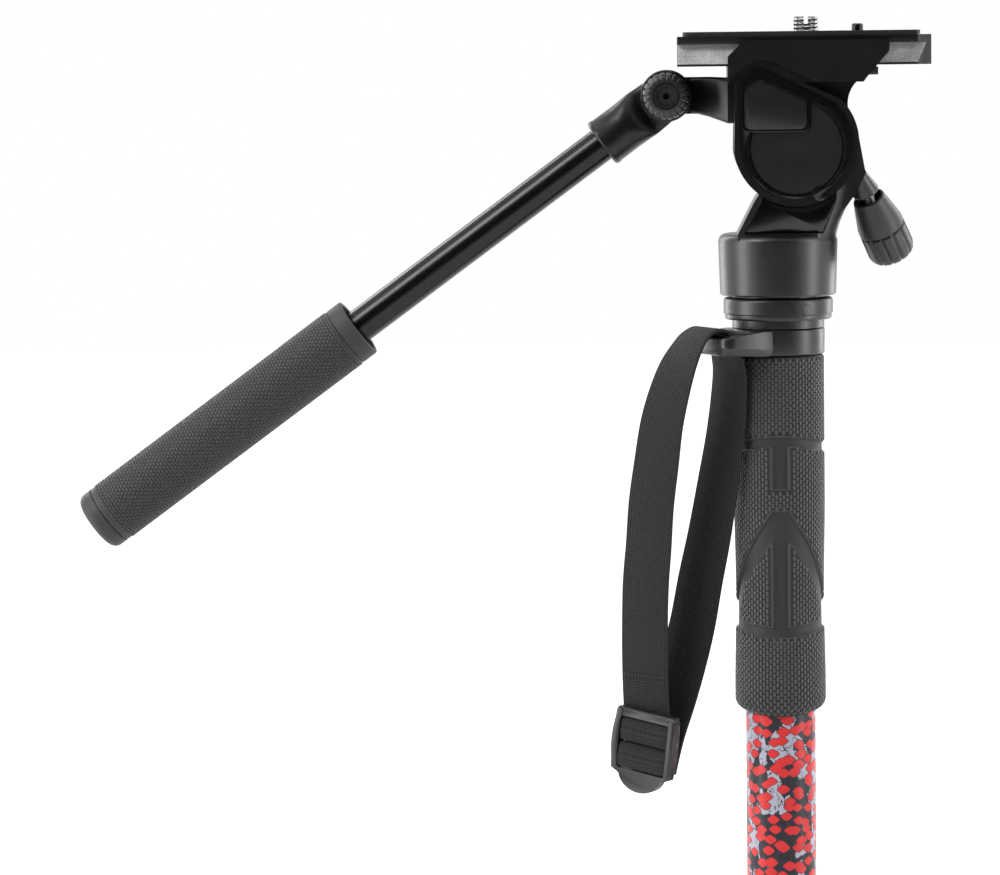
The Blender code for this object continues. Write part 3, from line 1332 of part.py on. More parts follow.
def pan_bar():
    """The rosette joint, the socket, the tube and the grip."""
    pivot = Vector((PIVOT_X, 0, PIVOT_Z))
    direction = bar_direction()
    turn = along(direction)
    middle = -EYE_GAP - EYE_WIDTH / 2
    centre = pivot + Vector((0, middle, 0))
    eye = rod_profile(EYE_R, EYE_GAP, EYE_GAP + EYE_WIDTH, GAP)
    socket = turned("handle_socket", eye, PLASTIC, pivot, ACROSS, MEDIUM)
    start = EYE_R + ROSETTE + RUN * 2
    body = [
        (0, SOCKET_LENGTH),
        (SOCKET_R - CUT, SOCKET_LENGTH),
        (SOCKET_R, SOCKET_LENGTH - CUT),
        (SOCKET_R, SOCKET_LENGTH * SOCKET_COLLAR_SHARE),
        (SOCKET_R - GAP * 2, SOCKET_LENGTH * SOCKET_COLLAR_SHARE - GAP),
        (SOCKET_R * SOCKET_WAIST_SHARE, start + CUT),
        (SOCKET_R * SOCKET_WAIST_SHARE - CUT, start),
        (0, start),
    ]
    fuse(socket, turned("socket_body", body, PLASTIC, centre, turn, COARSE))
    side = EYE_R * SOCKET_BRIDGE_SHARE
    web = [(-side, 0), (side, 0), (SOCKET_R - CUT, start + CUT), (-SOCKET_R + CUT, start + CUT)]
    bridge = prism(web, -EYE_WIDTH / 2, EYE_WIDTH / 2)
    fuse(socket, place("socket_bridge", bridge, PLASTIC, centre, turn @ Matrix.Rotation(QUARTER_TURN, 3, "Z")))
    seat = start + CUT
    bore = rod_profile(BAR_R + GAP, seat, SOCKET_LENGTH + CUT)
    cut(socket, turned("socket_bore", bore, PLASTIC, centre, turn, COARSE))
    hole = rod_profile(BOLT_R + GAP, 0, EYE_WIDTH * 2)
    cut(socket, turned("socket_bolt_hole", hole, PLASTIC, pivot, ACROSS, SMALL))
    grip_end = BAR_GRIP_START + BAR_GRIP_LENGTH
    tube = ring_profile(BAR_R - TUBE_WALL, BAR_R, seat + GAP, grip_end - BAR_GRIP_COLLAR)
    turned("handle_tube", tube, TUBE, centre, turn, COARSE)
    bore_r_grip = BAR_R + GAP
    mouth = BAR_GRIP_COLLAR * GRIP_MOUTH_SHARE
    step = BAR_GRIP_R - BAR_GRIP_COLLAR_R
    profile = [
        (0, grip_end),
        (BAR_GRIP_COLLAR_R - CUT, grip_end),
        (BAR_GRIP_COLLAR_R, grip_end - CUT),
        (BAR_GRIP_COLLAR_R, grip_end - BAR_GRIP_COLLAR),
        (BAR_GRIP_R, grip_end - BAR_GRIP_COLLAR - step),
        (BAR_GRIP_R, BAR_GRIP_START + BAR_GRIP_COLLAR + step),
        (BAR_GRIP_COLLAR_R, BAR_GRIP_START + BAR_GRIP_COLLAR),
        (BAR_GRIP_COLLAR_R, BAR_GRIP_START),
        (BAR_GRIP_COLLAR_R - CUT, BAR_GRIP_START),
        (BAR_GRIP_COLLAR_R - CUT, BAR_GRIP_START + mouth),
        (bore_r_grip, BAR_GRIP_START + mouth),
        (bore_r_grip, grip_end - BAR_GRIP_COLLAR + GAP),
        (0, grip_end - BAR_GRIP_COLLAR + GAP),
    ]
    turned("handle_grip", profile, RUBBER, centre, turn, MEDIUM)
    pan_bar_knob(pivot)


def pan_bar_knob(pivot):
    """The scalloped knob and the bolt that clamp the two eyes."""
    face = EYE_GAP + EYE_WIDTH + GAP
    top = face + KNOB_HEIGHT
    body = scalloped(KNOB_R, KNOB_SCALLOP, KNOB_SCALLOPS, face, top, KNOB_SCALLOP, SCALLOP_STEPS)
    knob = place("handle_knob", body, PLASTIC, pivot, ACROSS)
    dish = [
        (0, top + CUT),
        (KNOB_R * KNOB_RING_SHARE, top + CUT),
        (KNOB_R * KNOB_RING_SHARE, top - KNOB_SCALLOP),
        (0, top - KNOB_SCALLOP),
    ]
    cut(knob, turned("knob_dish", dish, PLASTIC, pivot, ACROSS, COARSE))
    end = face + KNOB_HEIGHT / 2
    seat = rod_profile(BOLT_R + GAP, face - CUT, end + GAP)
    cut(knob, turned("knob_bore", seat, PLASTIC, pivot, ACROSS, SMALL))
    back = -EYE_GAP - EYE_WIDTH
    bolt = [
        (0, end),
        (BOLT_R, end),
        (BOLT_R, back - GAP),
        (BOLT_R * 2, back - GAP),
        (BOLT_R * 2, back - BOLT_R),
        (0, back - BOLT_R),
    ]
    turned("handle_bolt", bolt, STEEL, pivot, ACROSS, SMALL)


# The whole monopod


def main():
    leg()
    head_mount()
    strap_ring()
    strap_webbing()
    strap_buckle()
    hand_grip()
    pan_base()
    pan_housing()
    arm_panels()
    tilt_lock()
    tilt_body()
    covers()
    tilt_axle()
    clamp_jaw()
    camera_plate()
    pan_bar()


main()
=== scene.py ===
"""Looks of a video monopod: a twist-lock leg with a rubber grip, a wrist strap and a fluid head.

Units are metres, +Z is up, and the origin is the centre of the foot's underside. Every piece
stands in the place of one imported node, rides on that node's body and takes its finish here.
"""

from __future__ import annotations

import json
import logging
import math
from dataclasses import dataclass
from enum import Enum
from typing import Iterable, Sequence

import bmesh
import bpy
from mathutils import Matrix, Vector

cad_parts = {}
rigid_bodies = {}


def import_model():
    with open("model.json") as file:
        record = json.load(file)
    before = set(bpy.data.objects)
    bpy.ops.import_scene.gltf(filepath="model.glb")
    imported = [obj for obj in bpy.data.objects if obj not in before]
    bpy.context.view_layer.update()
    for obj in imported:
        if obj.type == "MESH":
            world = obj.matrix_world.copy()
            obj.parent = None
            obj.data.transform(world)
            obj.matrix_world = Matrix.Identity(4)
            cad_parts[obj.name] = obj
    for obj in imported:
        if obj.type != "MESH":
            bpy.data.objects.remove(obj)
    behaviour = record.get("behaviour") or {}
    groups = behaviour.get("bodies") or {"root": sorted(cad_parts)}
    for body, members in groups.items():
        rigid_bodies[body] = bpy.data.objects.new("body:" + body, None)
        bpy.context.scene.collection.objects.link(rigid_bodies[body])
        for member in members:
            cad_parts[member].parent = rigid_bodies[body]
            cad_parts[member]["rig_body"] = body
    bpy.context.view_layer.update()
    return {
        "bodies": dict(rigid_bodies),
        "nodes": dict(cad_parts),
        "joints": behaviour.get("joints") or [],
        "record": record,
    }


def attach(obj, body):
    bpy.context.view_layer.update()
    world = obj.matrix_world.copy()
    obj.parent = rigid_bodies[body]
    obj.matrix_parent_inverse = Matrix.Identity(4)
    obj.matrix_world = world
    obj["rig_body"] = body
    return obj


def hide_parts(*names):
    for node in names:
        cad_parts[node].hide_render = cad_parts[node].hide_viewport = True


LOG = logging.getLogger("monopod")
FULL_TURN = 2 * math.pi
OVERRUN = 0.002  # how far a cut goes past a face
HAIR = 0.0003  # what is kept between two pieces, or shared by two shapes that join
COAT_ROUGHNESS = 0.06
PATCH = 0.009  # size of a surface's broad patches

Point2 = tuple[float, float]
Point3 = tuple[float, float, float]
Colour = tuple[float, float, float]
Piece = bpy.types.Object
Mesh = bmesh.types.BMesh
Material = bpy.types.Material


class Side(Enum):
    """Which face of the head a piece lies on."""

    NEAR = -1
    FAR = 1

    def between(self, first: float, last: float) -> list[float]:
        """Two distances from the middle plane as y values on this side, the lower first."""
        return sorted((self.value * first, self.value * last))


# Mesh tools


def spun(profile: Sequence[Point2], sides: int) -> Mesh:
    """Turns a closed (radius, height) profile about Z.

    Args:
        profile: Corners of the half section, in order.
        sides: Number of facets round the axis.

    Returns:
        The closed shape.
    """
    bm = bmesh.new()
    verts = [bm.verts.new((r, 0.0, z)) for r, z in profile]
    count = len(verts)
    edges = [bm.edges.new((verts[i], verts[(i + 1) % count])) for i in range(count)]
    for edge in [e for e in edges if all(v.co.x == 0 for v in e.verts)]:
        bm.edges.remove(edge)
        edges.remove(edge)
    bmesh.ops.spin(bm, geom=verts + edges, cent=(0, 0, 0), axis=(0, 0, 1), angle=FULL_TURN, steps=sides)
    return bm


def extruded(corners: Sequence[Point3], move: Point3) -> Mesh:
    """Carries a flat outline along a straight way.

    Args:
        corners: The outline's corners in order.
        move: The way.

    Returns:
        The closed shape.
    """
    bm = bmesh.new()
    face = bm.faces.new([bm.verts.new(p) for p in corners])
    grown = bmesh.ops.extrude_face_region(bm, geom=[face])
    moved = [v for v in grown["geom"] if isinstance(v, bmesh.types.BMVert)]
    bmesh.ops.translate(bm, verts=moved, vec=move)
    return bm


def prism(outline: Sequence[Point2], low: float, high: float) -> Mesh:
    """Extrudes an (x, z) outline along Y, from y = low to y = high."""
    return extruded([(x, low, z) for x, z in outline], (0, high - low, 0))


def across_x(outline: Sequence[Point2], low: float, high: float) -> Mesh:
    """Extrudes a (y, z) outline along X, from x = low to x = high."""
    return extruded([(low, y, z) for y, z in outline], (high - low, 0, 0))


def oblong(left: float, low: float, right: float, high: float) -> list[Point2]:
    """The four corners of an upright rectangle."""
    return [(left, low), (right, low), (right, high), (left, high)]


def upright(left: float, low: float, right: float, high: float) -> list[Point2]:
    """The same corners the other way round."""
    return [(left, low), (left, high), (right, high), (right, low)]


def block(low: Point3, high: Point3) -> Mesh:
    """A box between two corners."""
    return prism(oblong(low[0], low[2], high[0], high[2]), low[1], high[1])


def lofted(rings: Sequence[Sequence[Point3]], closed: bool = False) -> Mesh:
    """Joins rings of points with walls.

    Args:
        rings: Rings with the same number of points each.
        closed: Whether the last ring meets the first, in place of two caps.

    Returns:
        The closed shape.
    """
    bm = bmesh.new()
    made = [[bm.verts.new(p) for p in ring] for ring in rings]
    pairs = list(zip(made, made[1:]))
    if closed:
        pairs.append((made[-1], made[0]))
    for below, above in pairs:
        count = len(below)
        for i in range(count):
            n = (i + 1) % count
            bm.faces.new((below[i], below[n], above[n], above[i]))
    if not closed:
        bm.faces.new(made[0][::-1])
        bm.faces.new(made[-1])
    return bm


def arc(centre: Point2, radius: float, start: float, end: float, steps: int) -> list[Point2]:
    """Points of an arc with both its ends; angles are in degrees."""
    found = []
    for i in range(steps + 1):
        angle = math.radians(start + (end - start) * i / steps)
        found.append((centre[0] + radius * math.cos(angle), centre[1] + radius * math.sin(angle)))
    return found


def polar(reach: float, angle: float, z: float) -> Point3:
    """The point at a reach from the Z axis, turned by an angle from +X."""
    return (reach * math.cos(angle), reach * math.sin(angle), z)


def bend(first: Vector, knee: Vector, last: Vector, share: float) -> tuple[float, ...]:
    """A point of the curve that leaves `first` towards `knee` and ends at `last`."""
    rest = 1 - share
    return tuple(first * rest**2 + knee * 2 * share * rest + last * share**2)


def fillet(radius: float, run: float) -> float:
    """How far a rounded edge falls back at a distance from its end."""
    if run >= radius:
        return 0.0
    return radius - math.sqrt(max(0.0, radius**2 - (radius - run) ** 2))


def rounded(corners: Sequence[Point2], radius: float, steps: int = 5) -> list[Point2]:
    """Cuts each corner of an outline by an arc.

    Args:
        corners: The outline's corners.
        radius: The arcs' radius.
        steps: Edges in each arc.

    Returns:
        The new outline.
    """
    found: list[Point2] = []
    count = len(corners)
    for i, corner in enumerate(corners):
        here = Vector(corner)
        back = (Vector(corners[i - 1]) - here).normalized()
        ahead = (Vector(corners[(i + 1) % count]) - here).normalized()
        half = back.angle(ahead) / 2
        centre = here + (back + ahead).normalized() * (radius / math.sin(half))
        reach = radius / math.tan(half)
        first, last = here + back * reach - centre, here + ahead * reach - centre
        for step in range(steps + 1):
            spoke = first.lerp(last, step / steps).normalized() * radius
            found.append(tuple(centre + spoke))
    return found


def ring_section(inner: float, outer: float, low: float, high: float, edge: float) -> list[Point2]:
    """Half section of a sleeve whose outer edges are rounded by `edge`."""
    top = arc((outer - edge, high - edge), edge, 90, 0, 4)
    base = arc((outer - edge, low + edge), edge, 0, -90, 4)
    return [*top, *base, (inner, low), (inner, high)]


def plug(radius: float, first: float, last: float) -> list[Point2]:
    """Half section of a plain rod between two heights."""
    return [(0, first), (radius, first), (radius, last), (0, last)]


def rod_section(radius: float, low: float, high: float, edge: float) -> list[Point2]:
    """Half section of a rod whose edges are rounded by `edge`."""
    top = arc((radius - edge, high - edge), edge, 90, 0, 4)
    base = arc((radius - edge, low + edge), edge, 0, -90, 4)
    return [(0.0, high), *top, *base, (0.0, low)]


def along(direction: Sequence[float]) -> Matrix:
    """The turn that carries Z onto a direction."""
    return Vector(direction).to_track_quat("Z", "Y").to_matrix()


def tidy(bm: Mesh, turn: Matrix | None = None, at: Sequence[float] = (0, 0, 0)) -> None:
    """Merges doubles, sets the normals outward and carries the shape to its place."""
    bmesh.ops.remove_doubles(bm, verts=bm.verts, dist=1e-6)
    bmesh.ops.recalc_face_normals(bm, faces=bm.faces)
    place = Matrix.Translation(Vector(at)) @ (turn.to_4x4() if turn else Matrix.Identity(4))
    bmesh.ops.transform(bm, matrix=place, verts=bm.verts)


def make(
    name: str,
    bm: Mesh,
    turn: Matrix | None = None,
    at: Sequence[float] = (0, 0, 0),
) -> Piece:
    """Makes an object at the origin with its place in its mesh.

    Args:
        name: The piece's name.
        bm: Its shape, which is used up.
        turn: How the shape is turned.
        at: Where its own origin goes.

    Returns:
        The object, shaded smooth.
    """
    tidy(bm, turn, at)
    mesh = bpy.data.meshes.new(name)
    bm.to_mesh(mesh)
    bm.free()
    mesh.shade_smooth()
    made = bpy.data.objects.new(name, mesh)
    bpy.context.scene.collection.objects.link(made)
    return made


def bake(piece: Piece) -> Piece:
    """Turns the modifiers' result into the piece's own plain mesh."""
    graph = bpy.context.evaluated_depsgraph_get()
    graph.update()
    mesh = bpy.data.meshes.new_from_object(piece.evaluated_get(graph))
    piece.modifiers.clear()
    piece.data = mesh
    return piece


def operate(piece: Piece, other: Piece, operation: str) -> Piece:
    """Joins another shape to a piece, or cuts it out, and removes the other."""
    modifier = piece.modifiers.new("shape", "BOOLEAN")
    modifier.operation = operation
    modifier.solver = "EXACT"
    modifier.object = other
    bake(piece)
    bpy.data.objects.remove(other, do_unlink=True)
    return piece


def cut(piece: Piece, bm: Mesh, turn: Matrix | None = None, at: Sequence[float] = (0, 0, 0)) -> None:
    """Cuts a shape out of a piece."""
    operate(piece, make("cutter", bm, turn, at), "DIFFERENCE")


def fuse(piece: Piece, bm: Mesh, turn: Matrix | None = None, at: Sequence[float] = (0, 0, 0)) -> None:
    """Joins a shape to a piece."""
    operate(piece, make("addition", bm, turn, at), "UNION")


def drill(
    piece: Piece, rod: Point3, sides: int, turn: Matrix | None = None, at: Sequence[float] = (0, 0, 0)
) -> None:
    """Bores a piece by a plain rod, given as its radius and its two ends."""
    cut(piece, spun(plug(*rod), sides), turn, at)


def soften(piece: Piece, width: float, segments: int = 2, angle: float = 32) -> Piece:
    """Rounds a piece's sharp edges and shades its faces.

    Args:
        piece: The piece.
        width: Width of the rounding.
        segments: Faces across it.
        angle: Edges sharper than this many degrees are rounded.

    Returns:
        The same piece.
    """
    bevel = piece.modifiers.new("edges", "BEVEL")
    bevel.width = width
    bevel.segments = segments
    bevel.limit_method = "ANGLE"
    bevel.angle_limit = math.radians(angle)
    bevel.use_clamp_overlap = True
    bevel.harden_normals = False
    bake(piece)
    return crease(piece, angle)


def crease(piece: Piece, angle: float = 32) -> Piece:
    """Shades smooth across shallow edges and keeps the rest crisp."""
    piece.data.shade_smooth()
    piece.data.set_sharp_from_angle(angle=math.radians(angle))
    return piece


def fluted(
    radius: float, depth: float, count: int, levels: Sequence[Point2], steps: int, sharp: float = 1.0
) -> Mesh:
    """A rod about Z with grooves down its side.

    Args:
        radius: Outer radius.
        depth: How deep the grooves are.
        count: Number of grooves.
        levels: (height, inset) of each ring, bottom first.
        steps: Points across one groove and one land.
        sharp: Power that narrows the grooves.

    Returns:
        The closed shape.
    """
    rings = []
    for height, trim in levels:
        ring = []
        for i in range(count * steps):
            angle = FULL_TURN * i / (count * steps)
            wave = max(0.0, math.cos(count * angle)) ** sharp
            reach = radius - trim - depth * wave
            ring.append(polar(reach, angle, height))
        rings.append(ring)
    return lofted(rings)


ACROSS = Matrix.Rotation(math.radians(90), 3, "X")
OUTWARD = Matrix.Rotation(math.radians(-90), 3, "X")


# Finishes


class Nodes:
    """Adds nodes to one material and joins them.

    Attributes:
        material: The material that the nodes belong to.
        shader: Its Principled shader.
    """

    def __init__(self, name: str) -> None:
        """Starts a material with a Principled shader alone."""
        self.material = bpy.data.materials.new(name)
        self.material.use_nodes = True
        self.tree = self.material.node_tree
        self.shader = self.tree.nodes["Principled BSDF"]

    def link(self, socket: object, target: object) -> None:
        """Joins two sockets."""
        self.tree.links.new(socket, target)

    def place(self, source: str = "Object") -> object:
        """Gives a coordinate socket: Object or UV."""
        return self.tree.nodes.new("ShaderNodeTexCoord").outputs[source]

    def noise(self, vector: object, size: float, detail: float = 2.0, rough: float = 0.5) -> object:
        """Noise whose features are about `size` metres."""
        node = self.tree.nodes.new("ShaderNodeTexNoise")
        node.inputs["Scale"].default_value = 1 / size
        node.inputs["Detail"].default_value = detail
        node.inputs["Roughness"].default_value = rough
        self.link(vector, node.inputs["Vector"])
        return node.outputs["Fac"]

    def maths(
        self, kind: str, first: object, second: object = 0.0, third: object = 0.0, clamp: bool = False
    ) -> object:
        """One sum; sockets and numbers are both taken."""
        node = self.tree.nodes.new("ShaderNodeMath")
        node.operation = kind
        node.use_clamp = clamp
        for slot, value in zip(node.inputs, (first, second, third)):
            if isinstance(value, (int, float)):
                slot.default_value = value
            else:
                self.link(value, slot)
        return node.outputs[0]

    def times(self, first: object, second: object) -> object:
        """The product of two values."""
        return self.maths("MULTIPLY", first, second)

    def plus(self, first: object, second: object, clamp: bool = False) -> object:
        """The sum of two values."""
        return self.maths("ADD", first, second, clamp=clamp)

    def give(self, slot: str, value: object) -> None:
        """Sets an input of the shader; a socket, a number and a colour are all taken."""
        target = self.shader.inputs[slot]
        if isinstance(value, (int, float, tuple)):
            target.default_value = value
        else:
            self.link(value, target)

    def spread(self, value: object, low: float, high: float) -> object:
        """Carries a 0 to 1 value onto another range."""
        node = self.tree.nodes.new("ShaderNodeMapRange")
        node.inputs["To Min"].default_value = low
        node.inputs["To Max"].default_value = high
        self.link(value, node.inputs["Value"])
        return node.outputs["Result"]

    def ramp(self, value: object, stops: Sequence[tuple[float, Colour]]) -> object:
        """A colour ramp between stops."""
        node = self.tree.nodes.new("ShaderNodeValToRGB")
        band = node.color_ramp
        while len(band.elements) < len(stops):
            band.elements.new(0.5)
        for element, (at, colour) in zip(band.elements, stops):
            element.position = at
            element.color = (*colour, 1)
        self.link(value, node.inputs["Fac"])
        return node.outputs["Color"]

    def mix(self, share: object, first: object, second: object) -> object:
        """Mixes two colours; sockets and plain colours are both taken."""
        node = self.tree.nodes.new("ShaderNodeMix")
        node.data_type = "RGBA"
        self.link(share, node.inputs["Factor"])
        for name, value in (("A", first), ("B", second)):
            slot = next(s for s in node.inputs if s.name == name and s.type == "RGBA")
            if isinstance(value, tuple):
                slot.default_value = (*value, 1)
            else:
                self.link(value, slot)
        return next(s for s in node.outputs if s.type == "RGBA")

    def split(self, vector: object) -> tuple[object, object, object]:
        """The three parts of a vector."""
        node = self.tree.nodes.new("ShaderNodeSeparateXYZ")
        self.link(vector, node.inputs[0])
        return node.outputs[0], node.outputs[1], node.outputs[2]

    def join(self, x: object, y: object, z: object) -> object:
        """A vector from three parts."""
        node = self.tree.nodes.new("ShaderNodeCombineXYZ")
        for slot, value in zip(node.inputs, (x, y, z)):
            if isinstance(value, (int, float)):
                slot.default_value = value
            else:
                self.link(value, slot)
        return node.outputs[0]

    def bump(
        self, height: object, strength: float, depth: float, under: object | None = None
    ) -> object:
        """A bump whose full height is `depth` metres; gives its normal."""
        node = self.tree.nodes.new("ShaderNodeBump")
        node.inputs["Strength"].default_value = strength
        node.inputs["Distance"].default_value = depth
        self.link(height, node.inputs["Height"])
        if under is not None:
            self.link(under, node.inputs["Normal"])
        return node.outputs["Normal"]


@dataclass(frozen=True)
class Finish:
    """A moulded, cast or painted surface with a fine grain.

    Attributes:
        name: The material's name.
        colour: Its base colour, linear.
        roughness: Its middle roughness.
        metallic: 0 for paint, plastic and rubber, up to 1 for bare metal.
        grain: Size of the grain, in metres.
        relief: Height of the grain, in metres.
        mottle: How far the colour varies, as a share.
        coat: Weight of a clear coat.
        specular: Specular level.
    """

    name: str
    colour: Colour
    roughness: float
    metallic: float = 0.0
    grain: float = 0.00035
    relief: float = 0.00003
    mottle: float = 0.10
    coat: float = 0.0
    specular: float = 0.5

    def tones(self) -> list[tuple[float, Colour]]:
        """The two shades that the surface varies between."""
        low = tuple(c * (1 - self.mottle) for c in self.colour)
        high = tuple(c * (1 + self.mottle) for c in self.colour)
        return [(0.3, low), (0.7, high)]

    def constants(self, nodes: Nodes) -> None:
        """Sets what is the same all over the surface."""
        nodes.give("Metallic", self.metallic)
        nodes.give("Coat Weight", self.coat)
        nodes.give("Coat Roughness", COAT_ROUGHNESS)
        nodes.give("Specular IOR Level", self.specular)

    def build(self) -> Material:
        """Builds the node material.

        Returns:
            The material, with colour, roughness and grain from its nodes.
        """
        nodes = Nodes(self.name)
        self.constants(nodes)
        here = nodes.place()
        patches = nodes.noise(here, PATCH, 3.0)
        fine = nodes.noise(here, self.grain, 2.0)
        shade = nodes.plus(nodes.times(patches, 0.5), nodes.times(fine, 0.5))
        nodes.give("Base Color", nodes.ramp(shade, self.tones()))
        wear = nodes.spread(patches, self.roughness - 0.05, self.roughness + 0.05)
        nodes.give("Roughness", wear)
        nodes.give("Normal", nodes.bump(fine, 1.0, self.relief))
        return nodes.material


@dataclass(frozen=True)
class BrushedFinish(Finish):
    """Turned bare metal: fine rings round the piece's own Z axis."""

    rings: float = 0.00012
    stretch: float = 0.04

    def build(self) -> Material:
        """Builds the node material with its turning marks."""
        nodes = Nodes(self.name)
        self.constants(nodes)
        x, y, z = nodes.split(nodes.place())
        squashed = nodes.join(nodes.times(x, self.stretch), nodes.times(y, self.stretch), z)
        marks = nodes.noise(squashed, self.rings, 3.0)
        nodes.give("Base Color", nodes.ramp(marks, self.tones()))
        wear = nodes.spread(marks, self.roughness - 0.06, self.roughness + 0.10)
        nodes.give("Roughness", wear)
        nodes.give("Normal", nodes.bump(marks, 0.6, self.relief))
        return nodes.material


@dataclass(frozen=True)
class WovenFinish(Finish):
    """Webbing: ribs along the band crossed by the weft, on a UV map in metres.

    Attributes:
        pitch: Distance between two picks of the weave, in metres.
        thread: Colour of the raised threads, a painted highlight; the hollows keep the darker base
            colour as painted shade.
    """

    pitch: float = 0.00110
    thread: Colour = (0.026, 0.026, 0.027)

    def build(self) -> Material:
        """Builds the node material with its plain weave."""
        nodes = Nodes(self.name)
        self.constants(nodes)
        nodes.give("Sheen Weight", 0.05)
        nodes.give("Sheen Roughness", 0.45)
        u, v, _ = nodes.split(nodes.place("UV"))
        turns = math.pi / self.pitch
        warp = nodes.maths("ABSOLUTE", nodes.maths("SINE", nodes.times(u, turns)))
        weft = nodes.maths("ABSOLUTE", nodes.maths("SINE", nodes.times(v, turns * 1.2)))
        height = nodes.maths("MAXIMUM", warp, weft)
        fuzz = nodes.noise(nodes.place(), 0.0004, 3.0, 0.7)
        # Painted light: by height alone, the weave's raised crowns go over to the lighter thread colour
        # and its hollows stay dark.
        tone = nodes.plus(nodes.times(height, 0.85), nodes.times(fuzz, 0.2))
        stops = [(0.50, self.colour), (0.92, self.thread)]
        nodes.give("Base Color", nodes.ramp(tone, stops))
        nodes.give("Roughness", nodes.spread(fuzz, self.roughness - 0.08, self.roughness + 0.06))
        soft = nodes.bump(fuzz, 0.5, self.relief)
        nodes.give("Normal", nodes.bump(height, 1.0, self.relief * 3, soft))
        return nodes.material


@dataclass(frozen=True)
class SleeveFinish(Finish):
    """Moulded rubber whose smooth zones are ringed by a painted highlight along their lip.

    The mesh attribute "depth" counts millimetres inside a smooth zone, below zero outside it.

    Attributes:
        zone: Colour of the smooth zones.
        lip: Colour of the painted highlight along the lip round them.
    """

    zone: Colour = (0.022, 0.022, 0.023)
    lip: Colour = (0.120, 0.120, 0.122)

    def build(self) -> Material:
        """Builds the node material with its zones and the painted highlight along their lip."""
        nodes = Nodes(self.name)
        self.constants(nodes)
        read = nodes.tree.nodes.new("ShaderNodeAttribute")
        read.attribute_name = "depth"
        depth = read.outputs["Fac"]
        fine = nodes.noise(nodes.place(), self.grain, 2.0)
        inside = nodes.plus(nodes.times(depth, 6.0), 0.5, clamp=True)
        # Mask for the painted highlight: a narrow band just outside each smooth zone, on its raised
        # lip.
        off = nodes.maths("ABSOLUTE", nodes.plus(depth, 0.30))
        rim = nodes.maths("SUBTRACT", 1.0, nodes.times(off, 5.0), clamp=True)
        tone = nodes.mix(inside, nodes.ramp(fine, self.tones()), self.zone)
        # Painted highlight: the lip colour is mixed in along that band.
        nodes.give("Base Color", nodes.mix(rim, tone, self.lip))
        nodes.give("Roughness", nodes.spread(fine, self.roughness - 0.05, self.roughness + 0.05))
        soft = nodes.bump(fine, 1.0, self.relief)
        nodes.give("Normal", nodes.bump(rim, 1.0, 0.0002, soft))
        return nodes.material


@dataclass(frozen=True)
class PrintedFinish(Finish):
    """A tube's print: loose lozenges on a streaked two-tone ground.

    The UV map counts whole lozenges round the tube and along it.

    Attributes:
        lozenge: The lozenges' colour.
        pale: The paler part of the ground.
        loose: How far the lozenges stray from their rows, from 0 to 1.
        corners: How pointed they are: 1 for a plain lozenge, 2 for a circle.
        rim: Reach of their dark outline, as a share of their own.
        squeeze: How far the ground's patches are drawn out along the tube.
        streak_width: How wide the streaks are, as a share of the noise that draws them.
    """

    lozenge: Colour = (0.74, 0.040, 0.040)
    deep_lozenge: Colour = (0.66, 0.020, 0.028)
    outline: Colour = (0.045, 0.022, 0.028)
    pale: Colour = (0.46, 0.45, 0.54)
    streak: Colour = (0.035, 0.030, 0.040)
    loose: float = 0.85
    corners: float = 1.35
    rim: float = 1.14
    squeeze: float = 0.55
    streak_width: float = 0.018

    def build(self) -> Material:
        """Builds the node material with its printed lozenges."""
        nodes = Nodes(self.name)
        self.constants(nodes)
        here = nodes.place()
        spots = nodes.tree.nodes.new("ShaderNodeTexVoronoi")
        spots.voronoi_dimensions = "2D"
        spots.distance = "MINKOWSKI"
        spots.inputs["Exponent"].default_value = self.corners
        spots.inputs["Scale"].default_value = 1.0
        spots.inputs["Randomness"].default_value = self.loose
        nodes.link(nodes.place("UV"), spots.inputs["Vector"])
        size = nodes.spread(nodes.noise(here, 0.010, 1.0), 0.28, 0.58)
        reach = nodes.maths("DIVIDE", spots.outputs["Distance"], size)
        inside = nodes.maths("LESS_THAN", reach, 1.0)
        edge = nodes.maths("LESS_THAN", reach, self.rim)
        x, y, z = nodes.split(here)
        drawn = nodes.join(x, y, nodes.times(z, self.squeeze))
        cells = nodes.noise(drawn, 0.0075, 2.0, 0.6)
        light = nodes.maths("GREATER_THAN", cells, 0.51)
        swing = nodes.maths("SUBTRACT", nodes.noise(drawn, 0.0028, 2.0), 0.5)
        streak = nodes.maths("LESS_THAN", nodes.maths("ABSOLUTE", swing), self.streak_width)
        ground = nodes.mix(light, self.colour, self.pale)
        ground = nodes.mix(streak, ground, self.streak)
        body = nodes.mix(edge, ground, self.outline)
        shade = nodes.spread(nodes.noise(here, 0.004, 1.0), 0.0, 0.4)
        dots = nodes.mix(shade, self.lozenge, self.deep_lozenge)
        nodes.give("Base Color", nodes.mix(inside, body, dots))
        nodes.give("Roughness", nodes.spread(cells, self.roughness - 0.04, self.roughness + 0.04))
        nodes.give("Normal", nodes.bump(cells, 0.2, self.relief))
        return nodes.material


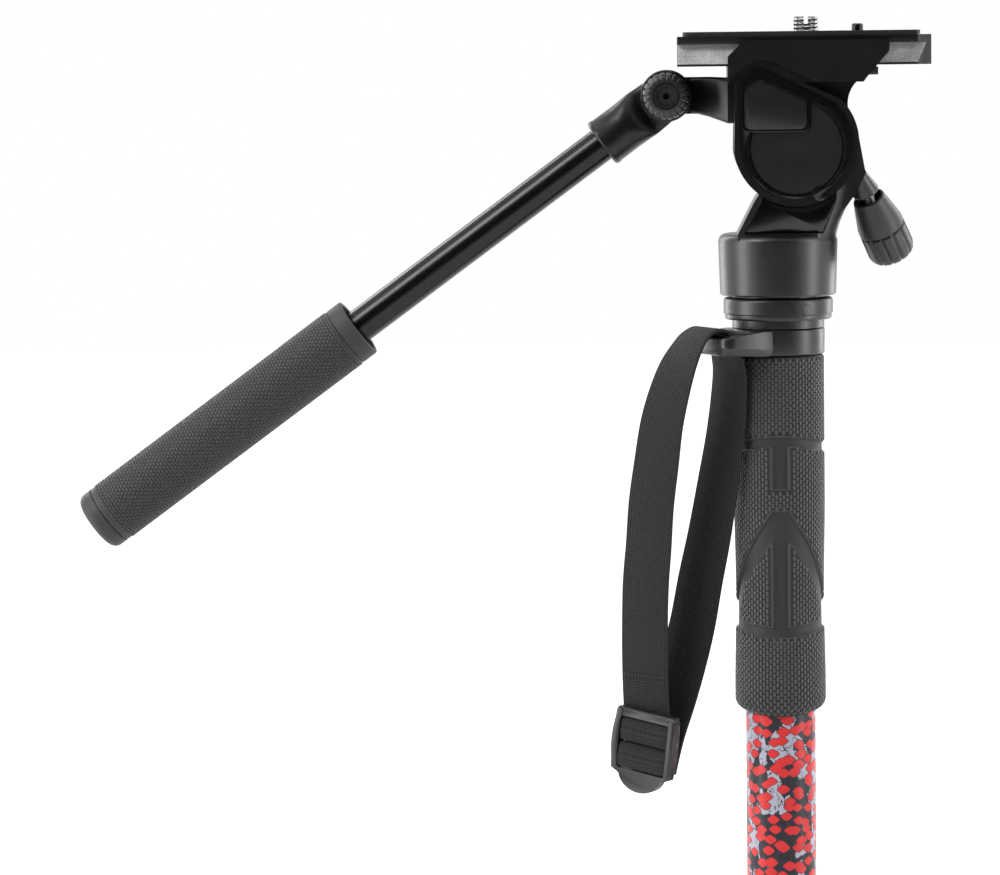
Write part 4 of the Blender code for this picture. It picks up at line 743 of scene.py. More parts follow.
class Palette:
    """Every finish of the monopod, built once."""

    def __init__(self) -> None:
        """Builds the materials."""
        self.casting = Finish(
            "satin_casting", (0.011, 0.011, 0.0118), 0.35, 0.0, 0.00042, 0.000035, 0.25, specular=0.55
        ).build()
        self.black_casting = Finish(
            "black_casting", (0.004, 0.004, 0.0045), 0.36, 0.0, 0.0004, 0.00003, 0.3, specular=0.35
        ).build()
        self.gloss = Finish(
            "gloss_black", (0.004, 0.004, 0.0045), 0.18, 0.0, 0.002, 0.000002, 0.2, coat=0.1
        ).build()
        self.satin_disc = Finish(
            "satin_disc", (0.009, 0.009, 0.0098), 0.34, 0.0, 0.0006, 0.000006, 0.2
        ).build()
        self.grip_rubber = Finish(
            "grip_rubber", (0.040, 0.040, 0.043), 0.62, 0.0, 0.00022, 0.00003, 0.14, specular=0.4
        ).build()
        # Painted shade and highlight: the sleeve's ground shows only between the scales and is far
        # darker than them, as shade in those crevices; the scales are lighter, as their lit tops,
        # though both are one rubber.
        self.sleeve_rubber = SleeveFinish(
            "sleeve_rubber", (0.012, 0.012, 0.0125), 0.60, relief=0.00003, grain=0.00022, specular=0.4
        ).build()
        self.scale_rubber = Finish(
            "scale_rubber", (0.060, 0.060, 0.063), 0.50, 0.0, 0.00022, 0.00002, 0.14, specular=0.45
        ).build()
        self.collar_rubber = Finish(
            "collar_rubber", (0.022, 0.022, 0.023), 0.60, 0.0, 0.0003, 0.00003, 0.2
        ).build()
        self.foot_rubber = Finish(
            "foot_rubber", (0.016, 0.016, 0.016), 0.75, 0.0, 0.0005, 0.00005, 0.3
        ).build()
        self.plastic = Finish(
            "dark_plastic", (0.026, 0.026, 0.028), 0.46, 0.0, 0.00028, 0.00002, 0.12
        ).build()
        self.knob = Finish(
            "knob_plastic", (0.020, 0.020, 0.022), 0.36, 0.0, 0.0003, 0.000012, 0.12
        ).build()
        self.buckle = Finish(
            "buckle_plastic", (0.013, 0.013, 0.0135), 0.42, 0.0, 0.00028, 0.00002, 0.10
        ).build()
        self.anodised = Finish(
            "black_anodised", (0.003, 0.003, 0.0033), 0.24, 0.0, 0.0006, 0.000002, 0.05, specular=0.35
        ).build()
        self.blasted = Finish(
            "blasted_alloy", (0.42, 0.42, 0.423), 0.50, 0.25, 0.00045, 0.00006, 0.6
        ).build()
        self.pad = Finish("pad_rubber", (0.014, 0.014, 0.015), 0.55, 0.0, 0.0003, 0.00003, 0.2).build()
        self.nylon = Finish(
            "natural_nylon", (0.52, 0.52, 0.48), 0.45, 0.0, 0.0004, 0.00001, 0.05
        ).build()
        self.steel = BrushedFinish(
            "bright_steel", (0.30, 0.30, 0.31), 0.28, 1.0, relief=0.000008
        ).build()
        self.webbing = WovenFinish(
            "webbing", (0.0012, 0.0012, 0.0013), 0.80, relief=0.00006, specular=0.25
        ).build()
        self.thread = Finish("thread", (0.006, 0.006, 0.0065), 0.60, 0.0, 0.0002, 0.00002, 0.2).build()
        self.print = PrintedFinish(
            "printed_tube", (0.020, 0.019, 0.027), 0.34, relief=0.00001, specular=0.28
        ).build()


# The stage


@dataclass
class Studio:
    """The camera, lamps, floor and background.

    Attributes:
        eye: Where the camera stands.
        aim: The point at the middle of its view.
        lens: Focal length in millimetres on a 36 mm sensor.
        roll: Turn about the line of sight, in degrees.
        shift: Vertical shift of the sensor, as a share of its width.
        floor: Radius of the floor.
        shadow_reach: Where the floor starts to go over to white.
        floor_fade: How far it takes to do so.
        near_glow: How much of the white is there at the object.
        far_glow: How much of it is there at the end.
        card: Half width, foot, top and nearer face of the dark card.
        lamps: Name, place, size and power of each lamp.
        lamp_aim: The point that the lamps face.
        sky_colour: Colour of the light from all round.
        sky_strength: Its strength.
    """

    eye: Point3 = (-0.03213, -1.51279, 0.51234)
    aim: Point3 = (-0.10081, 0.0, 0.39585)
    lens: float = 150.83
    roll: float = -0.662
    shift: float = -0.06
    floor: float = 6.0
    shadow_reach: float = 0.30
    floor_fade: float = 0.90
    near_glow: float = 0.30
    far_glow: float = 0.95
    card: tuple[float, float, float, float] = (1.8, 0.02, 2.0, -1.90)
    lamps: tuple[tuple[str, Point3, Point2, float], ...] = (
        ("key", (-0.95, -0.80, 1.40), (0.5, 0.5), 8.0),
        ("left", (-1.05, -0.30, 0.55), (0.25, 1.2), 8.0),
        ("right", (1.00, -0.35, 0.55), (0.25, 1.2), 6.5),
        ("rim_left", (-0.80, 0.85, 0.70), (0.25, 1.2), 6.0),
        ("rim_right", (0.80, 0.75, 0.70), (0.25, 1.2), 6.0),
        ("top", (0.0, 0.05, 1.6), (0.9, 0.6), 5.0),
    )
    lamp_aim: Point3 = (-0.05, 0, 0.38)
    sky_colour: Colour = (0.86, 0.88, 0.90)
    sky_strength: float = 0.42

    def camera(self) -> None:
        """Makes the camera."""
        data = bpy.data.cameras.new("camera")
        data.lens = self.lens
        data.sensor_width = 36.0
        data.shift_y = self.shift
        data.clip_start = 0.05
        made = bpy.data.objects.new("camera", data)
        bpy.context.scene.collection.objects.link(made)
        made.location = self.eye
        sight = (Vector(self.aim) - Vector(self.eye)).to_track_quat("-Z", "Y").to_matrix()
        made.rotation_euler = (sight @ Matrix.Rotation(math.radians(self.roll), 3, "Z")).to_euler()
        bpy.context.scene.camera = made

    def lamp(self, name: str, at: Point3, size: Point2, power: float) -> None:
        """Hangs one soft lamp that faces the head."""
        data = bpy.data.lights.new(name, "AREA")
        data.shape = "RECTANGLE"
        data.size, data.size_y = size
        data.energy = power
        made = bpy.data.objects.new(name, data)
        bpy.context.scene.collection.objects.link(made)
        made.location = at
        sight = Vector(self.lamp_aim) - Vector(at)
        made.rotation_euler = sight.to_track_quat("-Z", "Y").to_euler()

    def ground(self) -> None:
        """Lays the pale floor: it keeps the object's shadow and goes over to white further out."""
        bm = bmesh.new()
        bmesh.ops.create_circle(bm, cap_ends=True, segments=64, radius=self.floor)
        made = make("floor", bm, at=(0, 0, -0.0002))
        nodes = Nodes("floor_paper")
        here = nodes.place()
        grain = nodes.noise(here, 0.02, 2.0)
        stops = [(0.3, (0.80, 0.80, 0.80)), (0.7, (0.84, 0.84, 0.84))]
        nodes.give("Base Color", nodes.ramp(grain, stops))
        nodes.give("Roughness", 0.9)
        x, y, _ = nodes.split(here)
        far = nodes.maths("SQRT", nodes.plus(nodes.times(x, x), nodes.times(y, y)))
        past = nodes.maths("SUBTRACT", far, self.shadow_reach)
        share = nodes.maths("DIVIDE", past, self.floor_fade, clamp=True)
        rays = nodes.tree.nodes.new("ShaderNodeLightPath").outputs
        seen = nodes.maths(
            "MAXIMUM",
            rays["Is Camera Ray"],
            nodes.maths("MAXIMUM", rays["Is Glossy Ray"], rays["Is Transmission Ray"]),
        )
        nodes.give("Emission Color", (1, 1, 1, 1))
        glow = nodes.plus(nodes.times(share, self.far_glow - self.near_glow), self.near_glow)
        nodes.give("Emission Strength", nodes.times(seen, glow))
        made.data.materials.append(nodes.material)

    def dark_card(self) -> None:
        """Stands a dark card beyond the camera, which front faces reflect; the camera never sees it."""
        half, low, high, near = self.card
        made = make("dark_card", prism(oblong(-half, low, half, high), near - 0.02, near))
        made.visible_camera = False
        nodes = Nodes("card_paper")
        weave = nodes.noise(nodes.place(), 0.01, 2.0)
        stops = [(0.3, (0.010, 0.010, 0.010)), (0.7, (0.014, 0.014, 0.014))]
        nodes.give("Base Color", nodes.ramp(weave, stops))
        nodes.give("Roughness", 1.0)
        made.data.materials.append(nodes.material)

    def sky(self) -> None:
        """Lights the surroundings softly and shows them white to the camera and in reflections."""
        world = bpy.data.worlds.new("studio")
        bpy.context.scene.world = world
        world.use_nodes = True
        tree = world.node_tree
        lit = tree.nodes["Background"]
        lit.inputs["Color"].default_value = (*self.sky_colour, 1)
        lit.inputs["Strength"].default_value = self.sky_strength
        shown = tree.nodes.new("ShaderNodeBackground")
        shown.inputs["Color"].default_value = (1, 1, 1, 1)
        shown.inputs["Strength"].default_value = 1.0
        rays = tree.nodes.new("ShaderNodeLightPath")
        mixer = tree.nodes.new("ShaderNodeMixShader")
        last = rays.outputs["Is Camera Ray"]
        for kind in ("Is Glossy Ray", "Is Transmission Ray"):
            either = tree.nodes.new("ShaderNodeMath")
            either.operation = "MAXIMUM"
            tree.links.new(last, either.inputs[0])
            tree.links.new(rays.outputs[kind], either.inputs[1])
            last = either.outputs[0]
        tree.links.new(last, mixer.inputs[0])
        tree.links.new(lit.outputs[0], mixer.inputs[1])
        tree.links.new(shown.outputs[0], mixer.inputs[2])
        tree.links.new(mixer.outputs[0], tree.nodes["World Output"].inputs["Surface"])

    def build(self) -> None:
        """Makes the whole stage."""
        bpy.context.scene.view_settings.view_transform = "Standard"
        self.camera()
        self.ground()
        self.sky()
        self.dark_card()
        for row in self.lamps:
            self.lamp(*row)


# The frame's own nodes that keep their shape


class Dresser:
    """Gives every carried-over node its finish."""

    def __init__(self, nodes: dict[str, Piece], palette: Palette) -> None:
        """Keeps the nodes and the finishes."""
        self.nodes = nodes
        self.palette = palette

    def finish(self, name: str, material: Material) -> None:
        """Dresses one node."""
        slots = self.nodes[name].data.materials
        if not slots:
            slots.append(material)
        for i in range(len(slots)):
            slots[i] = material

    def dress(self) -> None:
        """Dresses the nodes by the kind of piece they are."""
        palette = self.palette
        table = {
            "attachment_stud": palette.steel,
            "pan_bearing": palette.steel,
            "handle_bolt": palette.anodised,
            "tilt_axle": palette.steel,
            "tilt_lock_screw": palette.steel,
            "foot_plug": palette.plastic,
            "pan_base": palette.casting,
            "tilt_bearing_front": palette.nylon,
            "tilt_bearing_rear": palette.nylon,
        }
        for section in range(1, 5):
            table[f"lock_ferrule_{section}"] = palette.plastic
            table[f"lock_shim_{section}"] = palette.nylon
            table[f"guide_bush_{section + 1}"] = palette.nylon
        for name in self.nodes:
            self.finish(name, table.get(name, palette.casting))


# Repeated small shapes


class StudTree:
    """Geometry Nodes that stand a copy of a small shape on every point of a mesh.

    Each point carries its turn as Euler angles in the attribute "turn", and its own size as
    a share in the attribute "share".
    """

    def __init__(self) -> None:
        """Builds the tree with its named inputs."""
        self.tree = bpy.data.node_groups.new("stand_studs", "GeometryNodeTree")
        face = self.tree.interface
        face.new_socket("Geometry", in_out="INPUT", socket_type="NodeSocketGeometry")
        self.inputs = {
            "Stud": face.new_socket("Stud", in_out="INPUT", socket_type="NodeSocketObject"),
            "Size": face.new_socket("Size", in_out="INPUT", socket_type="NodeSocketVector"),
            "Finish": face.new_socket("Finish", in_out="INPUT", socket_type="NodeSocketMaterial"),
        }
        face.new_socket("Geometry", in_out="OUTPUT", socket_type="NodeSocketGeometry")
        add, link = self.tree.nodes.new, self.tree.links.new
        given, result = add("NodeGroupInput"), add("NodeGroupOutput")
        stand, shape = add("GeometryNodeInstanceOnPoints"), add("GeometryNodeObjectInfo")
        turn, share = add("GeometryNodeInputNamedAttribute"), add("GeometryNodeInputNamedAttribute")
        turn.data_type, share.data_type = "FLOAT_VECTOR", "FLOAT"
        turn.inputs["Name"].default_value, share.inputs["Name"].default_value = "turn", "share"
        size = add("ShaderNodeVectorMath")
        size.operation = "SCALE"
        real, dress = add("GeometryNodeRealizeInstances"), add("GeometryNodeSetMaterial")
        link(given.outputs["Geometry"], stand.inputs["Points"])
        link(given.outputs["Stud"], shape.inputs["Object"])
        link(shape.outputs["Geometry"], stand.inputs["Instance"])
        link(turn.outputs["Attribute"], stand.inputs["Rotation"])
        link(given.outputs["Size"], size.inputs[0])
        link(share.outputs["Attribute"], size.inputs["Scale"])
        link(size.outputs["Vector"], stand.inputs["Scale"])
        link(stand.outputs["Instances"], real.inputs["Geometry"])
        link(real.outputs["Geometry"], dress.inputs["Geometry"])
        link(given.outputs["Finish"], dress.inputs["Material"])
        link(dress.outputs["Geometry"], result.inputs["Geometry"])

    def stand(
        self,
        name: str,
        places: Sequence[tuple[Vector, Matrix, float]],
        stud: Mesh,
        size: Point3,
        finish: Material,
    ) -> Piece:
        """Stands studs on places.

        Args:
            name: The new piece's name.
            places: Point, turn and share of the size of each stud.
            stud: The stud's shape, one unit across, with its top towards +Z.
            size: The full size of a stud.
            finish: The studs' material.

        Returns:
            One plain mesh with every stud in it.
        """
        mesh = bpy.data.meshes.new(name)
        mesh.from_pydata([tuple(at) for at, _, _ in places], [], [])
        turns = mesh.attributes.new("turn", "FLOAT_VECTOR", "POINT")
        turns.data.foreach_set("vector", [a for _, turn, _ in places for a in turn.to_euler()])
        shares = mesh.attributes.new("share", "FLOAT", "POINT")
        shares.data.foreach_set("value", [share for _, _, share in places])
        piece = bpy.data.objects.new(name, mesh)
        bpy.context.scene.collection.objects.link(piece)
        shape = make(f"{name}_stud", stud)
        modifier = piece.modifiers.new("studs", "NODES")
        modifier.node_group = self.tree
        modifier[self.inputs["Stud"].identifier] = shape
        modifier[self.inputs["Size"].identifier] = size
        modifier[self.inputs["Finish"].identifier] = finish
        bake(piece)
        bpy.data.objects.remove(shape, do_unlink=True)
        return piece


def pillow(taper: float = 0.72, sides: int = 4) -> Mesh:
    """A low pad one unit across, narrower at its top; its foot is a little under the surface.

    Args:
        taper: Width of the top as a share of the foot's.
        sides: Corners of the pad.

    Returns:
        The closed shape.
    """
    phase = math.pi / sides
    rings = []
    for height, share in ((-0.4, 1.0), (0.55, 0.96), (1.0, taper)):
        reach = share * 0.5 / math.cos(phase)
        ring = [FULL_TURN * i / sides + phase for i in range(sides)]
        rings.append([polar(reach, a, height) for a in ring])
    return lofted(rings)


def scale_stud() -> Mesh:
    """A long pad one unit across with pointed round ends."""
    outline = [
        (-0.44, 0.20),
        (-0.44, -0.20),
        (-0.22, -0.44),
        (0.0, -0.5),
        (0.22, -0.44),
        (0.44, -0.20),
        (0.44, 0.20),
        (0.22, 0.44),
        (0.0, 0.5),
        (-0.22, 0.44),
    ]
    rings = []
    for share, height in ((1.0, -0.6), (1.0, 0.35), (0.86, 0.85), (0.55, 1.0)):
        rings.append([(x * share, y * share, height) for x, y in outline])
    return lofted(rings)


def outward(angle: float) -> Matrix:
    """The turn that lays a stud on a rod about Z, its own Y upward, at an angle from +X."""
    out = Vector(polar(1, angle, 0))
    side = Vector((-math.sin(angle), math.cos(angle), 0))
    up = Vector((0, 0, 1))
    return Matrix((side, up, out)).transposed()


def wound(radius: float, pitch: float, depth: float, low: float, high: float, steps: int = 24) -> Mesh:
    """A threaded rod about Z.

    Args:
        radius: Radius over the threads.
        pitch: Distance between threads.
        depth: Depth of the threads.
        low: Lower end.
        high: Upper end.
        steps: Points round the rod.

    Returns:
        The closed shape, whose ends run out flat.
    """
    turns = max(1, round((high - low) / pitch))
    rings = []
    per_turn = 8
    for k in range(turns * per_turn + 1):
        share = k / (turns * per_turn)
        ring = []
        fade = min(1.0, share * 12, (1 - share) * 12)
        for i in range(steps):
            phase = (k / per_turn - i / steps) % 1.0
            ridge = 1 - abs(2 * phase - 1)
            reach = radius - depth * (1 - ridge) - depth * (1 - fade) * 0.5
            angle = FULL_TURN * i / steps
            ring.append(polar(reach, angle, low + (high - low) * share))
        rings.append(ring)
    return lofted(rings)


# Sub-assemblies


@dataclass
class Assembly:
    """A group of pieces that stand for nodes of the frame.

    Attributes:
        palette: The monopod's finishes.
        nodes: The frame's nodes by name.
        studs: The tree that stands repeated shapes.
    """

    palette: Palette
    nodes: dict[str, Piece]
    studs: StudTree

    def stand(self, piece: Piece, finish: Material, slot: str, node: str, hides: bool = True) -> str:
        """Dresses a piece and puts it in a node's place.

        Args:
            piece: The piece, already where it goes.
            finish: Its material.
            slot: The record's slot for it; not used.
            node: The node whose body it rides on.
            hides: Whether it stands for that node.

        Returns:
            The piece's name.
        """
        if not piece.data.materials:
            piece.data.materials.append(finish)
        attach(piece, self.nodes[node]["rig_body"])
        if hides:
            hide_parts(node)
        return piece.name

    def build(self) -> Iterable[str]:
        """Makes the pieces one after another and gives their names."""
        raise NotImplementedError


@dataclass
class HandGrip(Assembly):
    """The rubber sleeve on the upper tube: smooth recessed bands and fields of small scales.

    Attributes:
        sink: How far the smooth zones lie below the scales' ground.
        band: Height, rise round the sides and half height of the upper band.
        low_band: The same for the lower band.
        stem: Half width and foot of the strip between the upper band and the arrow.
        field_knee: Distance from the strip's middle and height of the corner of the scales
            inside the arrow.
        dip: Drop and height of the hanging lower end.
        rim: Distance, width and height of the lip round the smooth zones.
        sink_width: How far it takes to go down into a smooth zone.
        slant: Share that makes a distance across a slanted edge of one along the rod.
        scale_margin: How near the scales come to a smooth zone.
        scale_ends: How near they come to the sleeve's foot and to its top.
        scale_pitch: Distance between two rows, in heights of a scale.
    """

    bore: float = 0.01298
    radius: float = 0.0161
    waist: float = 0.0156
    low: float = 0.2748
    high: float = 0.4038
    sink: float = 0.00065
    band: Point3 = (0.3732, 0.0030, 0.00165)
    low_band: Point3 = (0.3040, -0.0025, 0.00165)
    stem: Point2 = (0.0030, 0.3561)
    chevron_top: float = 0.3480
    chevron_slope: float = 0.66
    field_top: float = 0.3371
    field_knee: Point2 = (0.0150, 0.3218)
    field_slope: float = 0.35
    dip: Point2 = (0.0016, 0.0120)
    waist_at: float = 0.3170
    waist_spread: float = 0.034
    foot_round: float = 0.0042
    lip_round: float = 0.0008
    thinnest: float = 0.0004
    rim: Point3 = (0.00035, 0.00022, 0.00016)
    sink_width: float = 0.0004
    slant: float = 0.85
    scale_margin: float = 0.00085
    scale_ends: Point2 = (0.0010, 0.0012)
    scale_pitch: float = 1.05
    scale: Point3 = (0.00122, 0.00202, 0.00034)
    columns: int = 80
    rings: int = 300
    sides: int = 300

    def radius_at(self, z: float) -> float:
        """The sleeve's outer radius at a height."""
        share = max(0.0, 1 - ((z - self.waist_at) / self.waist_spread) ** 2) ** 2
        reach = self.radius - (self.radius - self.waist) * share
        reach = max(reach - fillet(self.foot_round, z - self.low), self.bore + self.thinnest)
        return reach - fillet(self.lip_round, self.high - z)

    def smooth_depth(self, angle: float, z: float) -> float:
        """How far inside a smooth zone a place on the sleeve is.

        Args:
            angle: Turn about Z from +X.
            z: Height.

        Returns:
            The distance to the zone's edge in metres, below zero among the scales.
        """
        turn = (angle + math.pi) % math.pi - math.pi / 2
        along_arc = abs(turn) * self.radius
        side = math.sin(turn) ** 2
        top = self.band[2] - abs(z - self.band[0] + self.band[1] * side)
        low = self.low_band[2] - abs(z - self.low_band[0] + self.low_band[1] * side)
        stem = min(self.stem[0] - along_arc, z - self.stem[1], self.band[0] - z)
        reach = self.stem[0] + self.chevron_slope * (self.chevron_top - z)
        rise = z - self.low_band[0] + self.low_band[1] * side
        arrow = min((reach - along_arc) * self.slant, self.chevron_top - z, rise)
        knee_s, knee_z = self.field_knee
        if z > knee_z:
            growth = (knee_s - self.stem[0]) * (self.field_top - z) / (self.field_top - knee_z)
            edge = self.stem[0] + growth
        else:
            edge = knee_s + self.field_slope * (knee_z - z)
        inner, outer = along_arc - self.stem[0], (edge - along_arc) * self.slant
        field_in = min(inner, outer, rise - self.low_band[2])
        return max(top, low, stem, min(arrow, -field_in))

    def dipped(self, angle: float, z: float) -> float:
        """A height on the sleeve, which hangs a little lower at its front and back end."""
        drop, reach = self.dip
        share = max(0.0, 1 - (z - self.low) / reach)
        return z - drop * share**2 * math.sin(angle) ** 2

    def sleeve(self) -> Piece:
        """Builds the sleeve with its recessed bands."""
        profile = [self.low + (self.high - self.low) * i / self.rings for i in range(self.rings + 1)]
        rings, depths = [], []
        for z in profile:
            ring = []
            for i in range(self.sides):
                angle = FULL_TURN * i / self.sides
                inside = self.smooth_depth(angle, z)
                share = min(1.0, max(0.0, inside / self.sink_width + 0.5))
                rim = math.exp(-(((inside + self.rim[0]) / self.rim[1]) ** 2)) * self.rim[2]
                reach = self.radius_at(z) - self.sink * share + rim
                ring.append(polar(reach, angle, self.dipped(angle, z)))
                depths.append(inside)
            rings.append(ring)
        for z in (self.high, self.low):
            around = [FULL_TURN * i / self.sides for i in range(self.sides)]
            rings.append([polar(self.bore, a, self.dipped(a, z)) for a in around])
        bm = lofted(rings, closed=True)
        layer = bm.verts.layers.float.new("depth")
        for vert, inside in zip(bm.verts, depths):
            vert[layer] = inside * 1000
        for vert in list(bm.verts)[len(depths) :]:
            vert[layer] = -5.0
        return make("hand_grip_sleeve", bm)

    def scales(self) -> Piece:
        """Stands the scales in offset rows outside the smooth zones."""
        places = []
        pitch = self.scale[1] * self.scale_pitch
        foot, head = self.scale_ends
        rows = int((self.high - self.low - head) / pitch)
        for row in range(rows):
            for column in range(self.columns):
                angle = FULL_TURN * column / self.columns
                z = self.low + foot + pitch * (row + 0.5 * (column % 2))
                if self.smooth_depth(angle, z) > -self.scale_margin or z > self.high - head:
                    continue
                reach = self.radius_at(z)
                lean = math.atan((self.radius_at(z + HAIR) - self.radius_at(z - HAIR)) / (2 * HAIR))
                at = Vector(polar(reach, angle, self.dipped(angle, z)))
                places.append((at, outward(angle) @ Matrix.Rotation(lean, 3, "X"), 1.0))
        rubber = self.palette.scale_rubber
        return self.studs.stand("hand_grip_scales", places, scale_stud(), self.scale, rubber)

    def build(self) -> Iterable[str]:
        """Makes the sleeve and its scales."""
        palette = self.palette
        yield self.stand(self.sleeve(), palette.sleeve_rubber, "grip_rubber", "hand_grip")
        yield self.stand(self.scales(), palette.scale_rubber, "grip_rubber", "hand_grip", hides=False)


@dataclass
class BarJoint(Assembly):
    """What the pan bar and the neck that holds it share.

    Attributes:
        pivot: The middle of the joint.
        eye: Radius of both eyes.
        eye_gap: Distance of an eye's inner face from the middle plane.
        eye_width: Width of an eye.
        tooth: Depth of the toothed ring round them.
        teeth: How many teeth it has.
        bolt_bore: Radius of the bolt's hole.
    """

    pivot: Point3 = (-0.0397, 0.0, 0.4971)
    eye: float = 0.0093
    eye_gap: float = 0.00015
    eye_width: float = 0.0088
    tooth: float = 0.0008
    teeth: int = 24
    bolt_bore: float = 0.0033


@dataclass
class PanBar(BarJoint):
    """The pan bar: its eye with the knob, a socket, a tube and a textured grip."""

    slope: float = math.radians(36.3)
    socket_length: float = 0.0290
    socket: float = 0.0090
    tube: float = 0.00625
    tube_wall: float = 0.0010
    grip_start: float = 0.1387
    grip_length: float = 0.1203
    grip: float = 0.0115
    grip_end: float = 0.0113
    grip_collar: float = 0.0063
    knob: float = 0.0084
    knob_height: float = 0.0066
    knob_ring: float = 0.57
    scallops: int = 20
    scallop: float = 0.00045
    facets: int = 80
    brick: Point3 = (0.00150, 0.00098, 0.00022)
    brick_spacing: Point2 = (1.12, 1.14)
    brick_margin: float = 0.0014

    @property
    def turn(self) -> Matrix:
        """The turn that carries Z onto the bar."""
        return along((-math.cos(self.slope), 0, -math.sin(self.slope)))

    @property
    def centre(self) -> Vector:
        """Where the bar's axis passes the pivot."""
        return Vector(self.pivot) + Vector((0, -self.eye_gap - self.eye_width / 2, 0))

    def socket_rings(self) -> list[list[Point3]]:
        """Rings that go over from the eye's flat section to the round mouth of the socket."""
        flat = self.eye_width / 2 - 0.0002
        levels = (
            (0.0030, self.eye * 0.92, flat, 0.30),
            (0.0098, self.socket, flat, 0.35),
            (0.0112, self.socket, flat + 0.0012, 0.45),
            (0.0130, self.socket - 0.0001, flat + 0.0026, 0.60),
            (0.0155, self.socket - 0.0002, flat + 0.0038, 0.80),
            (0.0185, self.socket - 0.0003, self.socket - 0.0005, 1.0),
            (self.socket_length - 0.0024, self.socket - 0.0002, self.socket - 0.0002, 1.0),
            (self.socket_length - 0.0020, self.socket, self.socket, 1.0),
            (self.socket_length - 0.0009, self.socket, self.socket, 1.0),
            (self.socket_length - 0.0003, self.socket - 0.0004, self.socket - 0.0004, 1.0),
            (self.socket_length, self.socket - 0.0011, self.socket - 0.0011, 1.0),
        )
        rings = []
        for height, wide, deep, power in levels:
            ring = []
            for i in range(self.facets):
                angle = FULL_TURN * i / self.facets
                a, b = math.cos(angle), math.sin(angle)
                x, y = math.copysign(abs(a) ** power, a), math.copysign(abs(b) ** power, b)
                ring.append((wide * x, deep * y, height))
            rings.append(ring)
        return rings

    def bar_socket(self) -> Piece:
        """Builds the eye, the waist and the stepped socket that holds the tube."""
        eye = rod_section(self.eye, self.eye_gap, self.eye_gap + self.eye_width, 0.0007)
        piece = make("bar_socket", spun(eye, 96), ACROSS, self.pivot)
        spin = self.turn @ Matrix.Rotation(math.radians(90), 3, "Z")
        fuse(piece, lofted(self.socket_rings()), spin, self.centre)
        seat = self.eye + self.tooth + HAIR * 2 + OVERRUN
        drill(piece, (self.tube + HAIR, seat, self.socket_length + OVERRUN), 72, self.turn, self.centre)
        drill(piece, (self.bolt_bore, 0, self.eye_width * 2), 40, ACROSS, self.pivot)
        return soften(piece, 0.00035)

    def bar_tube(self) -> Piece:
        """Builds the plain tube between the socket and the grip."""
        low = self.eye + self.tooth + HAIR * 3 + OVERRUN
        high = self.grip_start + self.grip_length - self.grip_collar
        inner = self.tube - self.tube_wall
        section = [(self.tube, high), (self.tube, low), (inner, low), (inner, high)]
        return crease(make("bar_tube", spun(section, 80), self.turn, self.centre))

    def bar_grip(self) -> Piece:
        """Builds the grip's body: a smooth collar at each end and a shallow field between them."""
        start, end = self.grip_start, self.grip_start + self.grip_length
        lower, upper = start + self.grip_collar, end - self.grip_collar
        mouth = self.grip_collar * 0.6
        field = self.grip - self.brick[2]
        section = [
            (0, end),
            *arc((self.grip_end - 0.0032, end - 0.0032), 0.0032, 90, 0, 8),
            (self.grip_end, upper + 0.0004),
            *arc((field - 0.0014, upper - 0.0006), 0.0014, 60, 0, 4),
            *arc((field - 0.0014, lower + 0.0006), 0.0014, 0, -60, 4),
            (self.grip_end, lower - 0.0004),
            (self.grip_end, start + 0.0008),
            *arc((self.grip_end - 0.0008, start + 0.0008), 0.0008, 0, -90, 4),
            (self.grip_end - 0.0018, start + 0.0003),
            (self.grip_end - 0.0022, start + mouth),
            (self.tube + HAIR, start + mouth),
            (self.tube + HAIR, upper + HAIR),
            (0, upper + HAIR),
        ]
        return crease(make("bar_grip_body", spun(section, 96), self.turn, self.centre), 40)

    def bricks(self) -> Piece:
        """Stands the bricks in offset rows on the grip's field."""
        low = self.grip_start + self.grip_collar + self.brick_margin
        high = self.grip_start + self.grip_length - self.grip_collar - self.brick_margin
        count = round(FULL_TURN * self.grip / (self.brick[0] * self.brick_spacing[0]))
        pitch = self.brick[1] * self.brick_spacing[1]
        reach = self.grip - self.brick[2]
        places = []
        for row in range(int((high - low) / pitch) + 1):
            for k in range(count):
                angle = FULL_TURN * (k + 0.5 * (row % 2)) / count
                local = Vector(polar(reach, angle, low + pitch * row))
                places.append((self.turn @ local + self.centre, self.turn @ outward(angle), 1.0))
        rubber = self.palette.grip_rubber
        return self.studs.stand("bar_grip_bricks", places, pillow(0.80), self.brick, rubber)

    def bar_knob(self) -> Piece:
        """Builds the scalloped knob with its raised ring and dished middle."""
        face = self.eye_gap + self.eye_width + HAIR
        top = face + self.knob_height
        levels = [
            (face, 0.0012),
            (face + 0.0004, 0.0007),
            (face + 0.0011, 0.0),
            (top - 0.0020, 0.0),
            (top - 0.0012, 0.0003),
            (top - 0.0004, 0.0013),
            (top, 0.0026),
        ]
        body = fluted(self.knob, self.scallop, self.scallops, levels, 16, 3.0)
        piece = make("bar_knob", body, ACROSS, self.pivot)
        ring = self.knob * self.knob_ring
        groove = [
            (ring, top + OVERRUN),
            (ring - 0.0006, top + OVERRUN),
            (ring - 0.0006, top - 0.0007),
            (ring, top - 0.0007),
        ]
        cut(piece, spun(groove, 72), ACROSS, self.pivot)
        dish = [
            (0, top + OVERRUN),
            (0.0038, top + OVERRUN),
            (0.0037, top - 0.0008),
            (0.0012, top - 0.0008),
            (0.0010, top - 0.0030),
            (0, top - 0.0030),
        ]
        cut(piece, spun(dish, 64), ACROSS, self.pivot)
        end = face + self.knob_height / 2
        drill(piece, (self.bolt_bore, face - OVERRUN, end + HAIR), 40, ACROSS, self.pivot)
        return crease(piece, 30)

